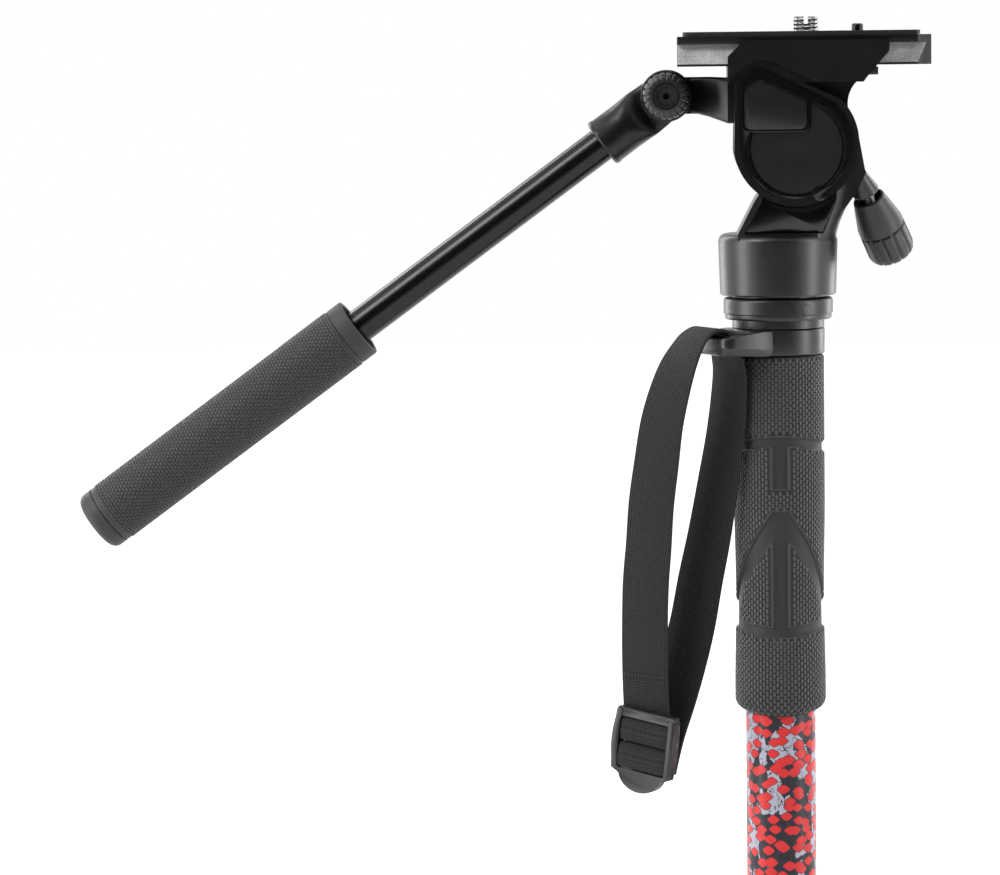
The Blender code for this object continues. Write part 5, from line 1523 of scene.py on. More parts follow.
    def build(self) -> Iterable[str]:
        """Makes the joint, the socket, the tube and the grip."""
        palette = self.palette
        yield self.stand(self.bar_socket(), palette.black_casting, "plastic", "handle_socket")
        yield self.stand(self.bar_tube(), palette.anodised, "black_tube", "handle_tube")
        yield self.stand(self.bar_grip(), palette.grip_rubber, "grip_rubber", "handle_grip")
        yield self.stand(self.bricks(), palette.grip_rubber, "grip_rubber", "handle_grip", hides=False)
        yield self.stand(self.bar_knob(), palette.knob, "plastic", "handle_knob")


@dataclass
class LockKnob(Assembly):
    """The tilt lock: a fluted knob that leans out from the arm, and its screw."""

    seat: Point3 = (0.0325, 0.0, 0.4600)
    lean: float = math.radians(24.4)
    yaw: float = math.radians(27.0)
    length: float = 0.0266
    mouth: float = 0.00585
    radius: float = 0.0086
    flutes: int = 12
    flute: float = 0.00055
    shoulder: float = 0.52
    core: float = 0.3
    start: float = 0.0003
    thread: Point3 = (0.0022, 0.0008, 0.00035)
    screw_depth: float = 0.0077

    @classmethod
    def direction(cls) -> Vector:
        """The way from the arm down the knob."""
        flat = math.cos(cls.yaw)
        return Vector((flat * math.sin(cls.lean), math.sin(cls.yaw), -flat * math.cos(cls.lean)))

    @property
    def turn(self) -> Matrix:
        """The turn that carries Z down the knob."""
        return along(self.direction())

    def knob(self) -> Piece:
        """Builds the knob: a hollow cone that opens into a fluted drum."""
        shoulder = self.length * self.shoulder
        end = self.length
        levels = [
            (shoulder - 0.0006, 0.0022),
            (shoulder + 0.0001, 0.0006),
            (shoulder + 0.0008, 0.0001),
            (end - 0.0036, 0.0),
            (end - 0.0018, 0.0004),
            (end - 0.0007, 0.0013),
            (end - 0.0001, 0.0027),
            (end, 0.0036),
        ]
        body = fluted(self.radius, self.flute, self.flutes, levels, 16, 3.0)
        piece = make("tilt_knob", body, self.turn, self.seat)
        cone = [
            (0, shoulder + 0.0010),
            (self.radius - 0.0020, shoulder + 0.0010),
            (self.radius - 0.0007, shoulder + 0.0001),
            (self.radius - 0.0001, shoulder - 0.0003),
            (self.radius - 0.0002, shoulder - 0.0022),
            (self.radius - 0.0012, self.start + 0.0070),
            (self.mouth + 0.0001, self.start + 0.0010),
            *arc((self.mouth - 0.0006, self.start + 0.0006), 0.0006, 0, -90, 3),
            (0, self.start),
        ]
        fuse(piece, spun(cone, 80), self.turn, self.seat)
        core = self.length * self.core
        hollow = [
            (0, core),
            (self.mouth - 0.0012, core),
            (self.mouth - 0.0009, self.start - OVERRUN),
            (0, self.start - OVERRUN),
        ]
        cut(piece, spun(hollow, 56), self.turn, self.seat)
        return crease(piece, 34)

    def screw(self) -> Piece:
        """Builds the threaded screw."""
        rod = wound(*self.thread, -self.screw_depth, self.length * self.core - HAIR)
        return crease(make("tilt_knob_screw", rod, self.turn, self.seat), 50)

    def build(self) -> Iterable[str]:
        """Makes the knob and its screw."""
        yield self.stand(self.knob(), self.palette.plastic, "plastic", "tilt_lock_knob")
        yield self.stand(self.screw(), self.palette.steel, "steel", "tilt_lock_screw")


@dataclass
class CameraPlate(Assembly):
    """The sliding plate with its pad, camera screw and sprung pin."""

    left: float = -0.0357
    length: float = 0.0900
    width: float = 0.0500
    low: float = 0.5075
    edge: float = 0.5083
    flank: float = 0.5153
    top: float = 0.5181
    lean: float = 0.0030
    corner: float = 0.0070
    pad_inset: float = 0.0020
    pad_thickness: float = 0.0016
    screw_x: float = 0.0105
    screw: float = 0.0046
    pin_x: float = 0.0290
    pin: float = 0.0021
    pin_rise: float = 0.0026
    well: float = 0.0088
    head: float = 0.0085
    thread: Point2 = (0.00127, 0.0006)
    pad_ribs: int = 17

    def plate(self) -> Piece:
        """Builds the dovetail plate with its cut corners and bored well."""
        half = self.width / 2
        waist = half - self.lean
        section = [
            (-half, self.low),
            (half, self.low),
            (half, self.edge),
            (waist, self.flank),
            (half, self.flank),
            (half, self.top),
            (-half, self.top),
            (-half, self.flank),
            (-waist, self.flank),
            (-half, self.edge),
        ]
        right = self.left + self.length
        piece = make("plate_body", across_x(section, self.left, right))
        piece.data.materials.append(self.palette.black_casting)
        piece.data.materials.append(self.palette.blasted)
        for side in Side:
            edge = side.value * (half + OVERRUN)
            points = [
                (right - self.corner, edge),
                (right + OVERRUN, edge),
                (right + OVERRUN, side.value * (half - self.corner)),
            ]
            levels = (self.low - OVERRUN, self.top + OVERRUN)
            cut(piece, lofted([[(x, y, z) for x, y in points] for z in levels]))
        for x, radius, high in (
            (self.screw_x, self.well, self.low + 0.0039),
            (self.screw_x, self.screw + HAIR, self.top + OVERRUN),
            (self.pin_x, self.pin + HAIR, self.top + OVERRUN),
            (self.pin_x, self.pin * 2 + HAIR, self.flank),
        ):
            drill(piece, (radius, high, self.low - OVERRUN), 48, at=(x, 0, 0))
        soften(piece, 0.00035, 2, 25)
        for face in piece.data.polygons:
            lies_on_flank = abs(face.normal.y) > 0.9 and self.edge < face.center.z < self.flank
            face.material_index = int(lies_on_flank and face.center.x < right - self.corner / 2)
        return piece

    def pad(self) -> Piece:
        """Builds the thin rubber pad with its ribs."""
        half = self.width / 2 - self.pad_inset
        right = self.left + self.length - self.pad_inset * 2
        left = self.left + self.pad_inset
        outline = rounded(oblong(left, -half, right, half), 0.0020)
        low, high = self.top + HAIR / 3, self.top + self.pad_thickness
        piece = make("plate_pad_body", prism(outline, -high, -low), OUTWARD)
        for x, radius in ((self.screw_x, self.screw + HAIR * 2), (self.pin_x, self.pin + HAIR * 2)):
            drill(piece, (radius, high + OVERRUN, low - OVERRUN), 48, at=(x, 0, 0))
        for i in range(self.pad_ribs):
            y = -half + (i + 1) * 2 * half / (self.pad_ribs + 1)
            first = (left + 0.0030, y - 0.00035, high - 0.0003)
            cut(piece, block(first, (right - 0.0030, y + 0.00035, high + OVERRUN)))
        return soften(piece, 0.00012, 1, 25)

    def camera_screw(self) -> Piece:
        """Builds the slotted screw with its threads above the pad."""
        high = self.top + self.pad_thickness
        tip = high + 0.0052
        head_top = self.low + 0.0036
        low = self.low + HAIR
        at = (self.screw_x, 0, 0)
        rod = wound(self.screw, *self.thread, high - 0.0016, tip, 48)
        piece = make("camera_screw_body", rod, at=at)
        shank = [
            (0, high - 0.0006),
            (self.screw - 0.0008, high - 0.0006),
            (self.screw - 0.0002, high - 0.0014),
            (self.screw - 0.0002, head_top),
            *arc((self.head - 0.0005, head_top - 0.0005), 0.0005, 90, 0, 3),
            (self.head, low),
            (0, low),
        ]
        fuse(piece, spun(shank, 64), at=at)
        slot = 0.0008
        cut(piece, block((-slot, -0.008, tip - 0.0026), (slot, 0.008, tip + OVERRUN)), at=at)
        cut(piece, block((-slot, -0.011, low - OVERRUN), (slot, 0.011, low + 0.0015)), at=at)
        return crease(piece, 30)

    def sprung_pin(self) -> Piece:
        """Builds the pin with its domed tip."""
        high = self.top + self.pad_thickness + self.pin_rise
        shoulder = self.flank - HAIR
        section = [
            (0, high),
            *arc((self.pin - 0.0007, high - 0.0007), 0.0007, 90, 0, 4),
            (self.pin, shoulder),
            (self.pin * 2, shoulder),
            (self.pin * 2, shoulder - self.pin),
            (0, shoulder - self.pin),
        ]
        return crease(make("sprung_pin", spun(section, 48), at=(self.pin_x, 0, 0)), 34)

    def build(self) -> Iterable[str]:
        """Makes the plate and what it carries."""
        palette = self.palette
        yield self.stand(self.plate(), palette.blasted, "blasted_alloy", "camera_plate")
        yield self.stand(self.pad(), palette.pad, "grip_rubber", "plate_pad")
        yield self.stand(self.camera_screw(), palette.steel, "steel", "camera_screw")
        yield self.stand(self.sprung_pin(), palette.anodised, "black_tube", "video_pin")


@dataclass
class TiltHead(BarJoint):
    """The tilting casting, its two covers and badge, and the clamp for the plate."""

    axis: Point2 = (0.0062, 0.4800)
    cheek: float = 0.0222
    cheek_half: float = 0.0215
    near_cheek: float = 0.0280
    arch_rim: float = 0.0022
    web_half: float = 0.0091
    cover: float = 0.0194
    cover_thickness: float = 0.0026
    cover_sink: float = 0.0012
    dish: float = 0.0170
    apex: Point2 = (-0.0052, 0.5075)
    shoulder: Point2 = (-0.0152, 0.5013)
    bed_left: float = -0.0178
    bed_right: float = 0.0390
    bed_low: float = 0.5016
    bed_top: float = 0.5165
    bed_half: float = 0.0300
    floor: float = 0.5072
    groove_top: float = 0.5046
    plate_half: float = 0.0250
    plate_lean: float = 0.0030
    jaw_top: float = 0.5150
    edge_top: float = 0.5083
    badge_middle: Point2 = (-0.0013, 0.4930)
    badge_corners: tuple[Point2, ...] = (
        (-0.0064, 0.5026),
        (-0.0122, 0.4990),
        (-0.0122, 0.4850),
        (0.0100, 0.4850),
        (0.0100, 0.4950),
    )
    badge_round: float = 0.0026
    tab: Point3 = (0.42, 0.91, 0.0026)
    jaw_room: float = 0.0026
    jaw_half: float = 0.0200
    clamp_knob: float = 0.0075
    clamp_flute: float = 0.0007
    clamp_flutes: int = 12
    clamp_stem: float = 0.0025
    clamp_bore: float = 0.0028
    axle_bore: float = 0.0043
    hollow_drop: float = 0.0016
    button_slot: Point3 = (0.0308, 0.0365, 0.0053)
    slot_top: float = 0.5088
    button_body: Point3 = (0.0326, 0.0362, 0.0050)
    button_ends: Point2 = (0.5039, 0.5068)
    button_ribs: int = 4

    @property
    def hub(self) -> Point3:
        """The tilt axis in the middle plane."""
        return (self.axis[0], 0.0, self.axis[1])

    def cheek_reach(self, side: Side) -> float:
        """How far a cheek's face is from the middle plane."""
        return self.near_cheek if side is Side.NEAR else self.cheek_half

    @property
    def hollow(self) -> Point3:
        """The middle of the round hollow in the near cover."""
        return (self.axis[0], 0.0, self.axis[1] - self.hollow_drop)

    @property
    def face(self) -> float:
        """The y of the near cover's face."""
        return -(self.near_cheek - self.cover_sink + HAIR + self.cover_thickness)

    def teardrop(self, radius: float, inset: float, round_by: float = 0.0016) -> list[Point2]:
        """The outline of a cheek or cover: a circle that runs up to a blunt apex.

        Args:
            radius: The circle's radius.
            inset: How far the apex and the shoulder are drawn in.
            round_by: Radius of their corners.

        Returns:
            The (x, z) outline.
        """
        apex_x, apex_z = self.apex
        side_x, side_z = self.shoulder
        corners = [
            (apex_x + 0.0006 - inset * 0.2, apex_z - inset * 0.5),
            (apex_x - 0.0034, apex_z - inset * 0.5),
            (side_x + inset * 0.5, side_z - inset * 0.5),
        ]
        ring = arc(self.axis, radius, -172, 44, 64)
        found = [*ring]
        for i, corner in enumerate(corners):
            before = ring[-1] if i == 0 else corners[i - 1]
            after = ring[0] if i == len(corners) - 1 else corners[i + 1]
            here = Vector(corner)
            back = (Vector(before) - here).normalized() * round_by
            ahead = (Vector(after) - here).normalized() * round_by
            for step in range(7):
                found.append(bend(here + back, here, here + ahead, step / 6))
        return found

    def neck(self) -> Piece:
        """Builds the neck that holds the pan bar: its own eye and a toothed room round the bar's."""
        low, near = self.eye_gap, self.eye_gap + self.eye_width
        half, drop, root = 0.0066, 0.0100, 0.0130
        sections = (
            (self.pivot[0] + 0.0036, half, half, low + HAIR, near - HAIR),
            (self.pivot[0] + self.eye + OVERRUN, half, half, -0.0040, near - HAIR),
            (self.pivot[0] + self.eye + 0.0060, half, half * 1.15, -0.0085, 0.0105),
            (self.bed_left, half - HAIR, drop, -root, root),
            (self.axis[0] - self.cheek * 0.8, half - HAIR, drop, -root, root),
        )
        rings = []
        for x, up, down, y0, y1 in sections:
            corners = oblong(y0, self.pivot[2] - down, y1, self.pivot[2] + up)
            rings.append([(x, y, z) for y, z in rounded(corners, 0.0011, 4)])
        piece = make("tilt_neck", lofted(rings))
        fuse(piece, spun(rod_section(self.eye, -near, -low, 0.0005), 96), ACROSS, self.pivot)
        drill(piece, (self.bolt_bore, -low + OVERRUN, -near - OVERRUN), 40, ACROSS, self.pivot)
        levels = [(-low + 0.0001, 0.0), (self.eye_width * 2, 0.0)]
        room = fluted(self.eye + self.tooth + HAIR * 2, self.tooth, self.teeth, levels, 10, 0.3)
        cut(piece, room, ACROSS, self.pivot)
        return piece

    def casting(self) -> Piece:
        """Builds the bed with its fixed jaw, the two cheeks and their webs."""
        outline = [
            (self.bed_left + 0.0056, self.bed_top),
            (self.bed_left, self.bed_top - 0.0056),
            (self.bed_left, self.bed_low),
            (self.bed_right - 0.0091, self.bed_low),
            (self.bed_right - 0.0068, self.bed_low + 0.0030),
            (self.bed_right, self.bed_top - 0.0041),
            (self.bed_right, self.bed_top),
        ]
        piece = make("tilt_casting", prism(outline, -self.bed_half, self.bed_half))
        for side in Side:
            ends = side.between(self.cheek_reach(side) + 0.0002, self.web_half)
            fuse(piece, prism(self.teardrop(self.cheek, 0.0), *ends))
            hip = self.cheek * 0.62
            gusset = [
                (self.axis[0], self.bed_low + 0.0015),
                (self.bed_right - 0.0091, self.bed_low + 0.0015),
                *arc((self.bed_right - 0.0030, self.axis[1] + hip), 0.0112, 140, 200, 14),
                (self.axis[0] + hip, self.axis[1] + hip),
                (self.axis[0], self.axis[1] + self.cheek / 2),
            ]
            fuse(piece, prism(gusset, *side.between(self.web_half + HAIR, self.cheek_half - 0.0052)))
        arch = self.teardrop(self.cheek + self.arch_rim, -self.arch_rim * 2, 0.0022)
        cut(piece, prism(arch, -self.bed_half - OVERRUN, -self.near_cheek))
        operate(piece, self.neck(), "UNION")
        half, waist = self.plate_half + HAIR, self.plate_half - self.plate_lean + HAIR
        deep = half + self.jaw_room
        channel = [
            (-half, self.floor),
            (deep, self.floor),
            (deep, self.bed_top + OVERRUN),
            (-half, self.bed_top + OVERRUN),
            (-half, self.jaw_top),
            (-waist, self.jaw_top),
            (-half, self.edge_top),
        ]
        cut(piece, across_x(channel, self.bed_left - OVERRUN, self.bed_right + OVERRUN))
        reach = self.cheek_half - 0.0045
        drill(piece, (self.axle_bore, reach, -reach), 48, ACROSS, self.hub)
        slim = self.web_half - HAIR / 2
        corner = (self.bed_right + OVERRUN, slim, self.groove_top)
        cut(piece, block((self.axis[0], -slim, self.axis[1]), corner))
        room = self.groove_top - self.axis[1]
        drill(piece, (room, slim, -slim), 96, ACROSS, self.hub)
        for side in Side:
            reach = self.cheek_reach(side)
            ends = side.between(reach - self.cover_sink, reach + OVERRUN)
            cut(piece, prism(self.teardrop(self.cover + HAIR, self.cheek - self.cover - HAIR), *ends))
        left, right, half = self.button_slot
        cut(piece, block((left, -half, self.bed_low - OVERRUN), (right, half, self.slot_top)))
        middle = (self.bed_left + self.bed_right) / 2
        level = (self.floor + self.jaw_top) / 2
        at = (middle, self.bed_half, level)
        drill(piece, (self.clamp_bore, OVERRUN, -0.0095), 32, OUTWARD, at)
        return soften(piece, 0.0004, 2, 28)

    def badge_outline(self, grow: float) -> list[Point2]:
        """The badge's rounded outline, grown all round."""
        middle = Vector(self.badge_middle)
        grown = [Vector(c) + (Vector(c) - middle).normalized() * grow for c in self.badge_corners]
        return rounded([tuple(c) for c in grown], self.badge_round, 8)

    def front(self) -> Piece:
        """Builds the front cover: a raised lip, a sunken disc and the badge's frame."""
        outer, inner = self.face, self.face + self.cover_thickness
        shape = self.teardrop(self.cover, self.cheek - self.cover)
        piece = make("cover_near", prism(shape, outer, inner))
        levels = [
            (-outer + OVERRUN, self.dish + 0.0004),
            (-outer - 0.0002, self.dish + 0.0002),
            (-outer - 0.0010, self.dish - 0.0003),
        ]
        sunk = [(0, levels[0][0]), *[(r, z) for z, r in levels], (0, levels[-1][0])]
        cut(piece, spun(sunk, 128), ACROSS, self.hollow)
        right, down, reach = self.tab
        place = (self.axis[0] + self.cover * right, self.axis[1] - self.cover * down)
        tab = arc(place, reach, 0, 360, 24)[:-1]
        fuse(piece, prism(tab, outer + HAIR, -self.near_cheek - HAIR))
        rim = prism(self.badge_outline(0.0012), outer - 0.0001, inner - HAIR)
        fuse(piece, rim)
        cut(piece, prism(self.badge_outline(HAIR), outer - OVERRUN, outer + 0.0009))
        return soften(piece, 0.00045, 3, 25)

    def inlay(self) -> Piece:
        """Builds the satin disc in the near cover's hollow, cut away round the badge's frame."""
        floor = self.face + 0.0010
        reach = self.dish - 0.0009
        disc = plug(reach, -floor + 0.0002, -floor - 0.0003)
        piece = make("cover_inlay", spun(disc, 128), ACROSS, self.hollow)
        cut(piece, prism(self.badge_outline(0.0016), floor - OVERRUN, floor + OVERRUN))
        return crease(piece, 30)

    def far_cover(self) -> Piece:
        """Builds the plain cover on the far side."""
        inner = self.cheek_half - self.cover_sink + HAIR
        outer = inner + self.cover_thickness
        shape = self.teardrop(self.cover, self.cheek - self.cover)
        piece = make("cover_far", prism(shape, inner, outer))
        sunk = [
            (0, -outer - OVERRUN),
            (self.dish, -outer - OVERRUN),
            (self.dish - 0.0010, -outer + 0.0010),
            (0, -outer + 0.0010),
        ]
        cut(piece, spun(sunk, 128), ACROSS, self.hub)
        return soften(piece, 0.00045, 3, 25)

    def badge(self) -> Piece:
        """Builds the blank badge."""
        outer = self.face
        piece = make("badge_blank", prism(self.badge_outline(0.0), outer + 0.0002, outer + 0.0008))
        return soften(piece, 0.0002, 2)

    def clamp(self) -> list[tuple[Piece, str]]:
        """Builds the sprung jaw and the knob that draws it in."""
        half, waist = self.plate_half + HAIR, self.plate_half - self.plate_lean + HAIR
        outer = half + self.jaw_room - 0.0008 - HAIR
        low = self.floor + HAIR
        outline = [
            (outer, low),
            (outer, self.jaw_top),
            (waist, self.jaw_top),
            (half, self.edge_top),
            (half, low),
        ]
        middle = (self.bed_left + self.bed_right) / 2
        body = across_x(outline, middle - self.jaw_half, middle + self.jaw_half)
        jaw = soften(make("plate_jaw", body), 0.0003)
        at = (middle, self.bed_half, (self.floor + self.jaw_top) / 2)
        levels = [(HAIR, 0.0012), (0.0010, 0.0), (0.0112, 0.0), (0.0124, 0.0006), (0.0130, 0.0018)]
        body = fluted(self.clamp_knob, self.clamp_flute, self.clamp_flutes, levels, 12, 0.7)
        knob = make("plate_knob", body, OUTWARD, at)
        depth = self.bed_half - outer
        stem = plug(self.clamp_stem, HAIR * 2, -depth + 0.0011)
        fuse(knob, spun(stem, 32), OUTWARD, at)
        dish = [(0, 0.0140), (0.0046, 0.0140), (0.0044, 0.0122), (0, 0.0122)]
        cut(knob, spun(dish, 56), OUTWARD, at)
        return [(jaw, "clamp_jaw"), (crease(knob, 34), "plate_lock_knob")]

    def button(self) -> Piece:
        """Builds the release button with its ribs."""
        left, right, half = self.button_body
        low, high = self.button_ends
        piece = make("plate_release", block((left, -half, low), (right, half, high)))
        for i in range(self.button_ribs):
            y = -0.0036 + 0.0024 * i
            cut(piece, block((0.0359, y - 0.0004, 0.5035), (0.0370, y + 0.0004, 0.5072)))
        return soften(piece, 0.0002)

    def build(self) -> Iterable[str]:
        """Makes the casting, the covers, the badge and the clamp."""
        palette = self.palette
        yield self.stand(self.casting(), palette.black_casting, "black_casting", "tilt_body")
        yield self.stand(self.front(), palette.gloss, "gloss_black", "front_cover")
        yield self.stand(self.far_cover(), palette.gloss, "gloss_black", "rear_cover")
        yield self.stand(self.inlay(), palette.satin_disc, "gloss_black", "front_cover", hides=False)
        yield self.stand(self.badge(), palette.satin_disc, "plastic", "badge_plate")
        for piece, node in self.clamp():
            yield self.stand(piece, palette.plastic, "plastic", node)
        yield self.stand(self.button(), palette.plastic, "plastic", "release_button")


@dataclass
class PanHousing(Assembly):
    """The turning drum and the arm that carries the tilt axle, with its two glossy panels."""

    low: float = 0.4252
    top: float = 0.4474
    radius: float = 0.0215
    taper: float = 0.0006
    chamfer: float = 0.0030
    axis: Point2 = TiltHead.axis
    arm_half: float = 0.0160
    web_half: float = 0.0088
    web: float = 0.0208
    cheek: float = TiltHead.cheek
    lock: Point3 = LockKnob.seat
    boss: float = 0.0049
    boss_length: float = 0.0100
    shank: float = 0.0020
    panel_depth: float = 0.0035
    panel_thickness: float = 0.0012
    panel_frame: float = 0.0024
    axle_bore: float = 0.0063
    lock_bore: float = 0.0025
    spindle: float = 0.0083
    well: float = 0.0175

    def foot(self) -> list[Point2]:
        """The arm's wide foot, seen from the front."""
        x, z = self.axis
        left = -self.radius * 0.68
        right = self.radius - self.taper
        base = self.top - self.chamfer
        first = Vector((right, base + 0.0024))
        knee = Vector((x + self.web * 0.93, z - self.web * 1.22)) + Vector((0.0006, -0.0012))
        last = Vector((x + self.web * 0.904, z - self.web * 0.793))
        return [
            (right, base - self.chamfer),
            *[bend(first, knee, last, i / 12) for i in range(13)],
            (x, z),
            (x - self.web * 0.70, z - self.web * 0.98),
            (left, self.top),
            (left * 0.97, base - self.chamfer),
        ]

    def horn(self) -> list[Point2]:
        """The narrow part of the arm, out to the lock boss."""
        x, z = self.axis
        lock_x, lock_z = self.lock[0], self.lock[2]
        return [
            (x, z - self.web),
            (x + self.web * 0.85, z - self.web * 1.15),
            (lock_x - self.boss, lock_z + self.boss / 4),
            *arc((lock_x - self.boss, lock_z + self.boss * 1.9), self.boss * 0.75, -20, 20, 6),
            (x + self.cheek + HAIR, z + self.cheek * 0.16),
            (x, z + self.web / 3),
        ]

    def panel_outline(self, inset: float) -> list[Point2]:
        """The recess in the arm's face, drawn in by an inset."""
        x, z = self.axis
        left, hip = -self.radius * 0.68, x + self.web * 0.93
        frame = self.panel_frame
        floor = self.top + HAIR + inset
        waist = x - self.web * 0.70
        return [
            (left + frame + inset, floor),
            (self.radius - self.taper - frame * 2 - inset, floor),
            (hip - frame * 2 - inset, z - self.web),
            (x + self.web * 0.75 - inset, z),
            (waist + frame + inset, z),
            (waist + frame + inset, z - self.web),
        ]

    def arm_round(self) -> Mesh:
        """The leaning drum that rounds the arm's right side into the housing below it."""
        rings = []
        for rise, lean in (
            (-0.0060, 0.0),
            (0.0, 0.0),
            (0.0040, 0.0012),
            (0.0085, 0.0032),
            (0.0150, 0.0046),
            (0.0400, 0.0046),
        ):
            reach = self.radius - self.taper / 2
            ring = []
            for i in range(96):
                angle = FULL_TURN * i / 96
                x = reach * math.cos(angle) + lean
                ring.append((x if x > 0 else x * 1.6, reach * math.sin(angle), self.top + rise))
            rings.append(ring)
        return lofted(rings)

    def casting(self) -> Piece:
        """Builds the drum, the arm, the web and the lock boss as one casting."""
        x, z = self.axis
        section = [
            (0, self.top),
            *arc((self.radius - self.chamfer, self.top - self.chamfer), self.chamfer, 90, 0, 12),
            (self.radius - self.taper, self.low + 0.0005),
            (self.radius - self.taper - 0.0005, self.low),
            (0, self.low),
        ]
        piece = make("pan_casting", spun(section, 144))
        arm = make("pan_arm", prism(self.foot(), -self.arm_half, self.arm_half))
        operate(arm, make("arm_round", self.arm_round()), "INTERSECT")
        operate(piece, arm, "UNION")
        thin = self.web_half - 0.0001
        fuse(piece, prism(self.horn(), -thin, thin))
        down = LockKnob.direction()
        end = self.boss_length - self.shank
        rod = [
            (0, end),
            *arc((self.boss - 0.0005, end - 0.0005), 0.0005, 90, 0, 3),
            (self.boss * 0.62, 0),
            (0, 0),
        ]
        fuse(piece, spun(rod, 64), along(down), Vector(self.lock) - down * self.boss_length)
        reach = self.cheek + HAIR * 2
        for side in Side:
            ends = side.between(self.web_half, self.arm_half + OVERRUN)
            drill(piece, (reach, -ends[0], -ends[1]), 128, ACROSS, (x, 0, z))
            wall = self.arm_half - self.panel_depth
            ends = side.between(wall, self.arm_half + OVERRUN)
            cut(piece, prism(self.panel_outline(0), *ends))
        base = self.low + 0.0080
        roof, shelf = base + 0.0103, base + 0.0036
        hollow = [
            (0, roof),
            (self.spindle, roof),
            (self.spindle, shelf),
            (self.well, shelf),
            (self.well, self.low - OVERRUN),
            (0, self.low - OVERRUN),
        ]
        cut(piece, spun(hollow, 72))
        thick = self.web_half + 0.0001
        web = plug(self.web, thick, -thick)
        fuse(piece, spun(web, 128), ACROSS, (x, 0, z))
        wide = self.arm_half + OVERRUN
        drill(piece, (self.axle_bore, wide, -wide), 56, ACROSS, (x, 0, z))
        drill(piece, (self.lock_bore, OVERRUN, -0.0080), 32, along(down), self.lock)
        return soften(piece, 0.0004, 2, 28)

    def panel(self, side: Side) -> Piece:
        """Builds the glossy panel that lies in one side's recess."""
        wall = self.arm_half - self.panel_depth
        ends = side.between(wall + HAIR, wall + HAIR + self.panel_thickness)
        piece = make(f"arm_panel_{side.name.lower()}", prism(self.panel_outline(HAIR), *ends))
        clear = self.cheek + HAIR * 3
        drill(piece, (clear, 0.04, -0.04), 128, ACROSS, (self.axis[0], 0, self.axis[1]))
        return soften(piece, 0.0003, 2, 28)

    def build(self) -> Iterable[str]:
        """Makes the casting and its panels."""
        palette = self.palette
        yield self.stand(self.casting(), palette.casting, "casting", "pan_housing")
        yield self.stand(self.panel(Side.NEAR), palette.gloss, "gloss_black", "arm_panel_front")
        yield self.stand(self.panel(Side.FAR), palette.gloss, "gloss_black", "arm_panel_rear")


@dataclass
class HeadMount(Assembly):
    """The disc under the head, its neck and the spigot inside the upper tube."""

    disc: float = 0.0197
    low: float = 0.4165
    high: float = 0.4243
    neck: float = 0.0166
    neck_low: float = 0.4135
    spigot: float = 0.01135
    spigot_low: float = 0.3957
    bore: float = 0.0051
    screws: int = 3
    screw: float = 0.0019

    def mount(self) -> Piece:
        """Builds the disc with its lower step, its neck and the set screws' holes."""
        section = [
            (self.bore, self.high),
            *arc((self.disc - 0.0012, self.high - 0.0012), 0.0012, 90, 0, 5),
            (self.disc, self.low + 0.0022),
            (self.disc - 0.0005, self.low + 0.0018),
            *arc((self.disc - 0.0012, self.low + 0.0007), 0.0007, 0, -90, 3),
            (self.neck, self.low),
            (self.neck, self.neck_low),
            (self.spigot, self.neck_low),
            (self.spigot, self.spigot_low),
            (self.bore, self.spigot_low),
        ]
        piece = make("mount_disc", spun(section, 160))
        for i in range(self.screws):
            angle = FULL_TURN * (i + 0.5) / self.screws
            out = Vector(polar(1, angle, 0))
            at = out * (self.disc - 0.0066) + Vector((0, 0, (self.low + self.high) / 2))
            drill(piece, (self.screw + HAIR / 3, 0.012, 0), 40, along(out), at)
        return crease(piece, 30)

    def set_screw(self, number: int) -> Piece:
        """Builds one set screw, flush with the disc."""
        angle = FULL_TURN * (number - 0.5) / self.screws
        out = Vector(polar(1, angle, 0))
        at = out * (self.disc - 0.0064) + Vector((0, 0, (self.low + self.high) / 2))
        rod = plug(self.screw, 0.012, 0)
        piece = make(f"set_screw_rod_{number}", spun(rod, 40), along(out), at)
        round_off = spun(plug(self.disc, self.high, self.low), 160)
        return crease(operate(piece, make("round_off", round_off), "INTERSECT"), 30)

    def build(self) -> Iterable[str]:
        """Makes the disc and its set screws."""
        casting = self.palette.casting
        yield self.stand(self.mount(), casting, "casting", "head_mount")
        for number in range(1, self.screws + 1):
            yield self.stand(self.set_screw(number), casting, "steel", f"set_screw_{number}")


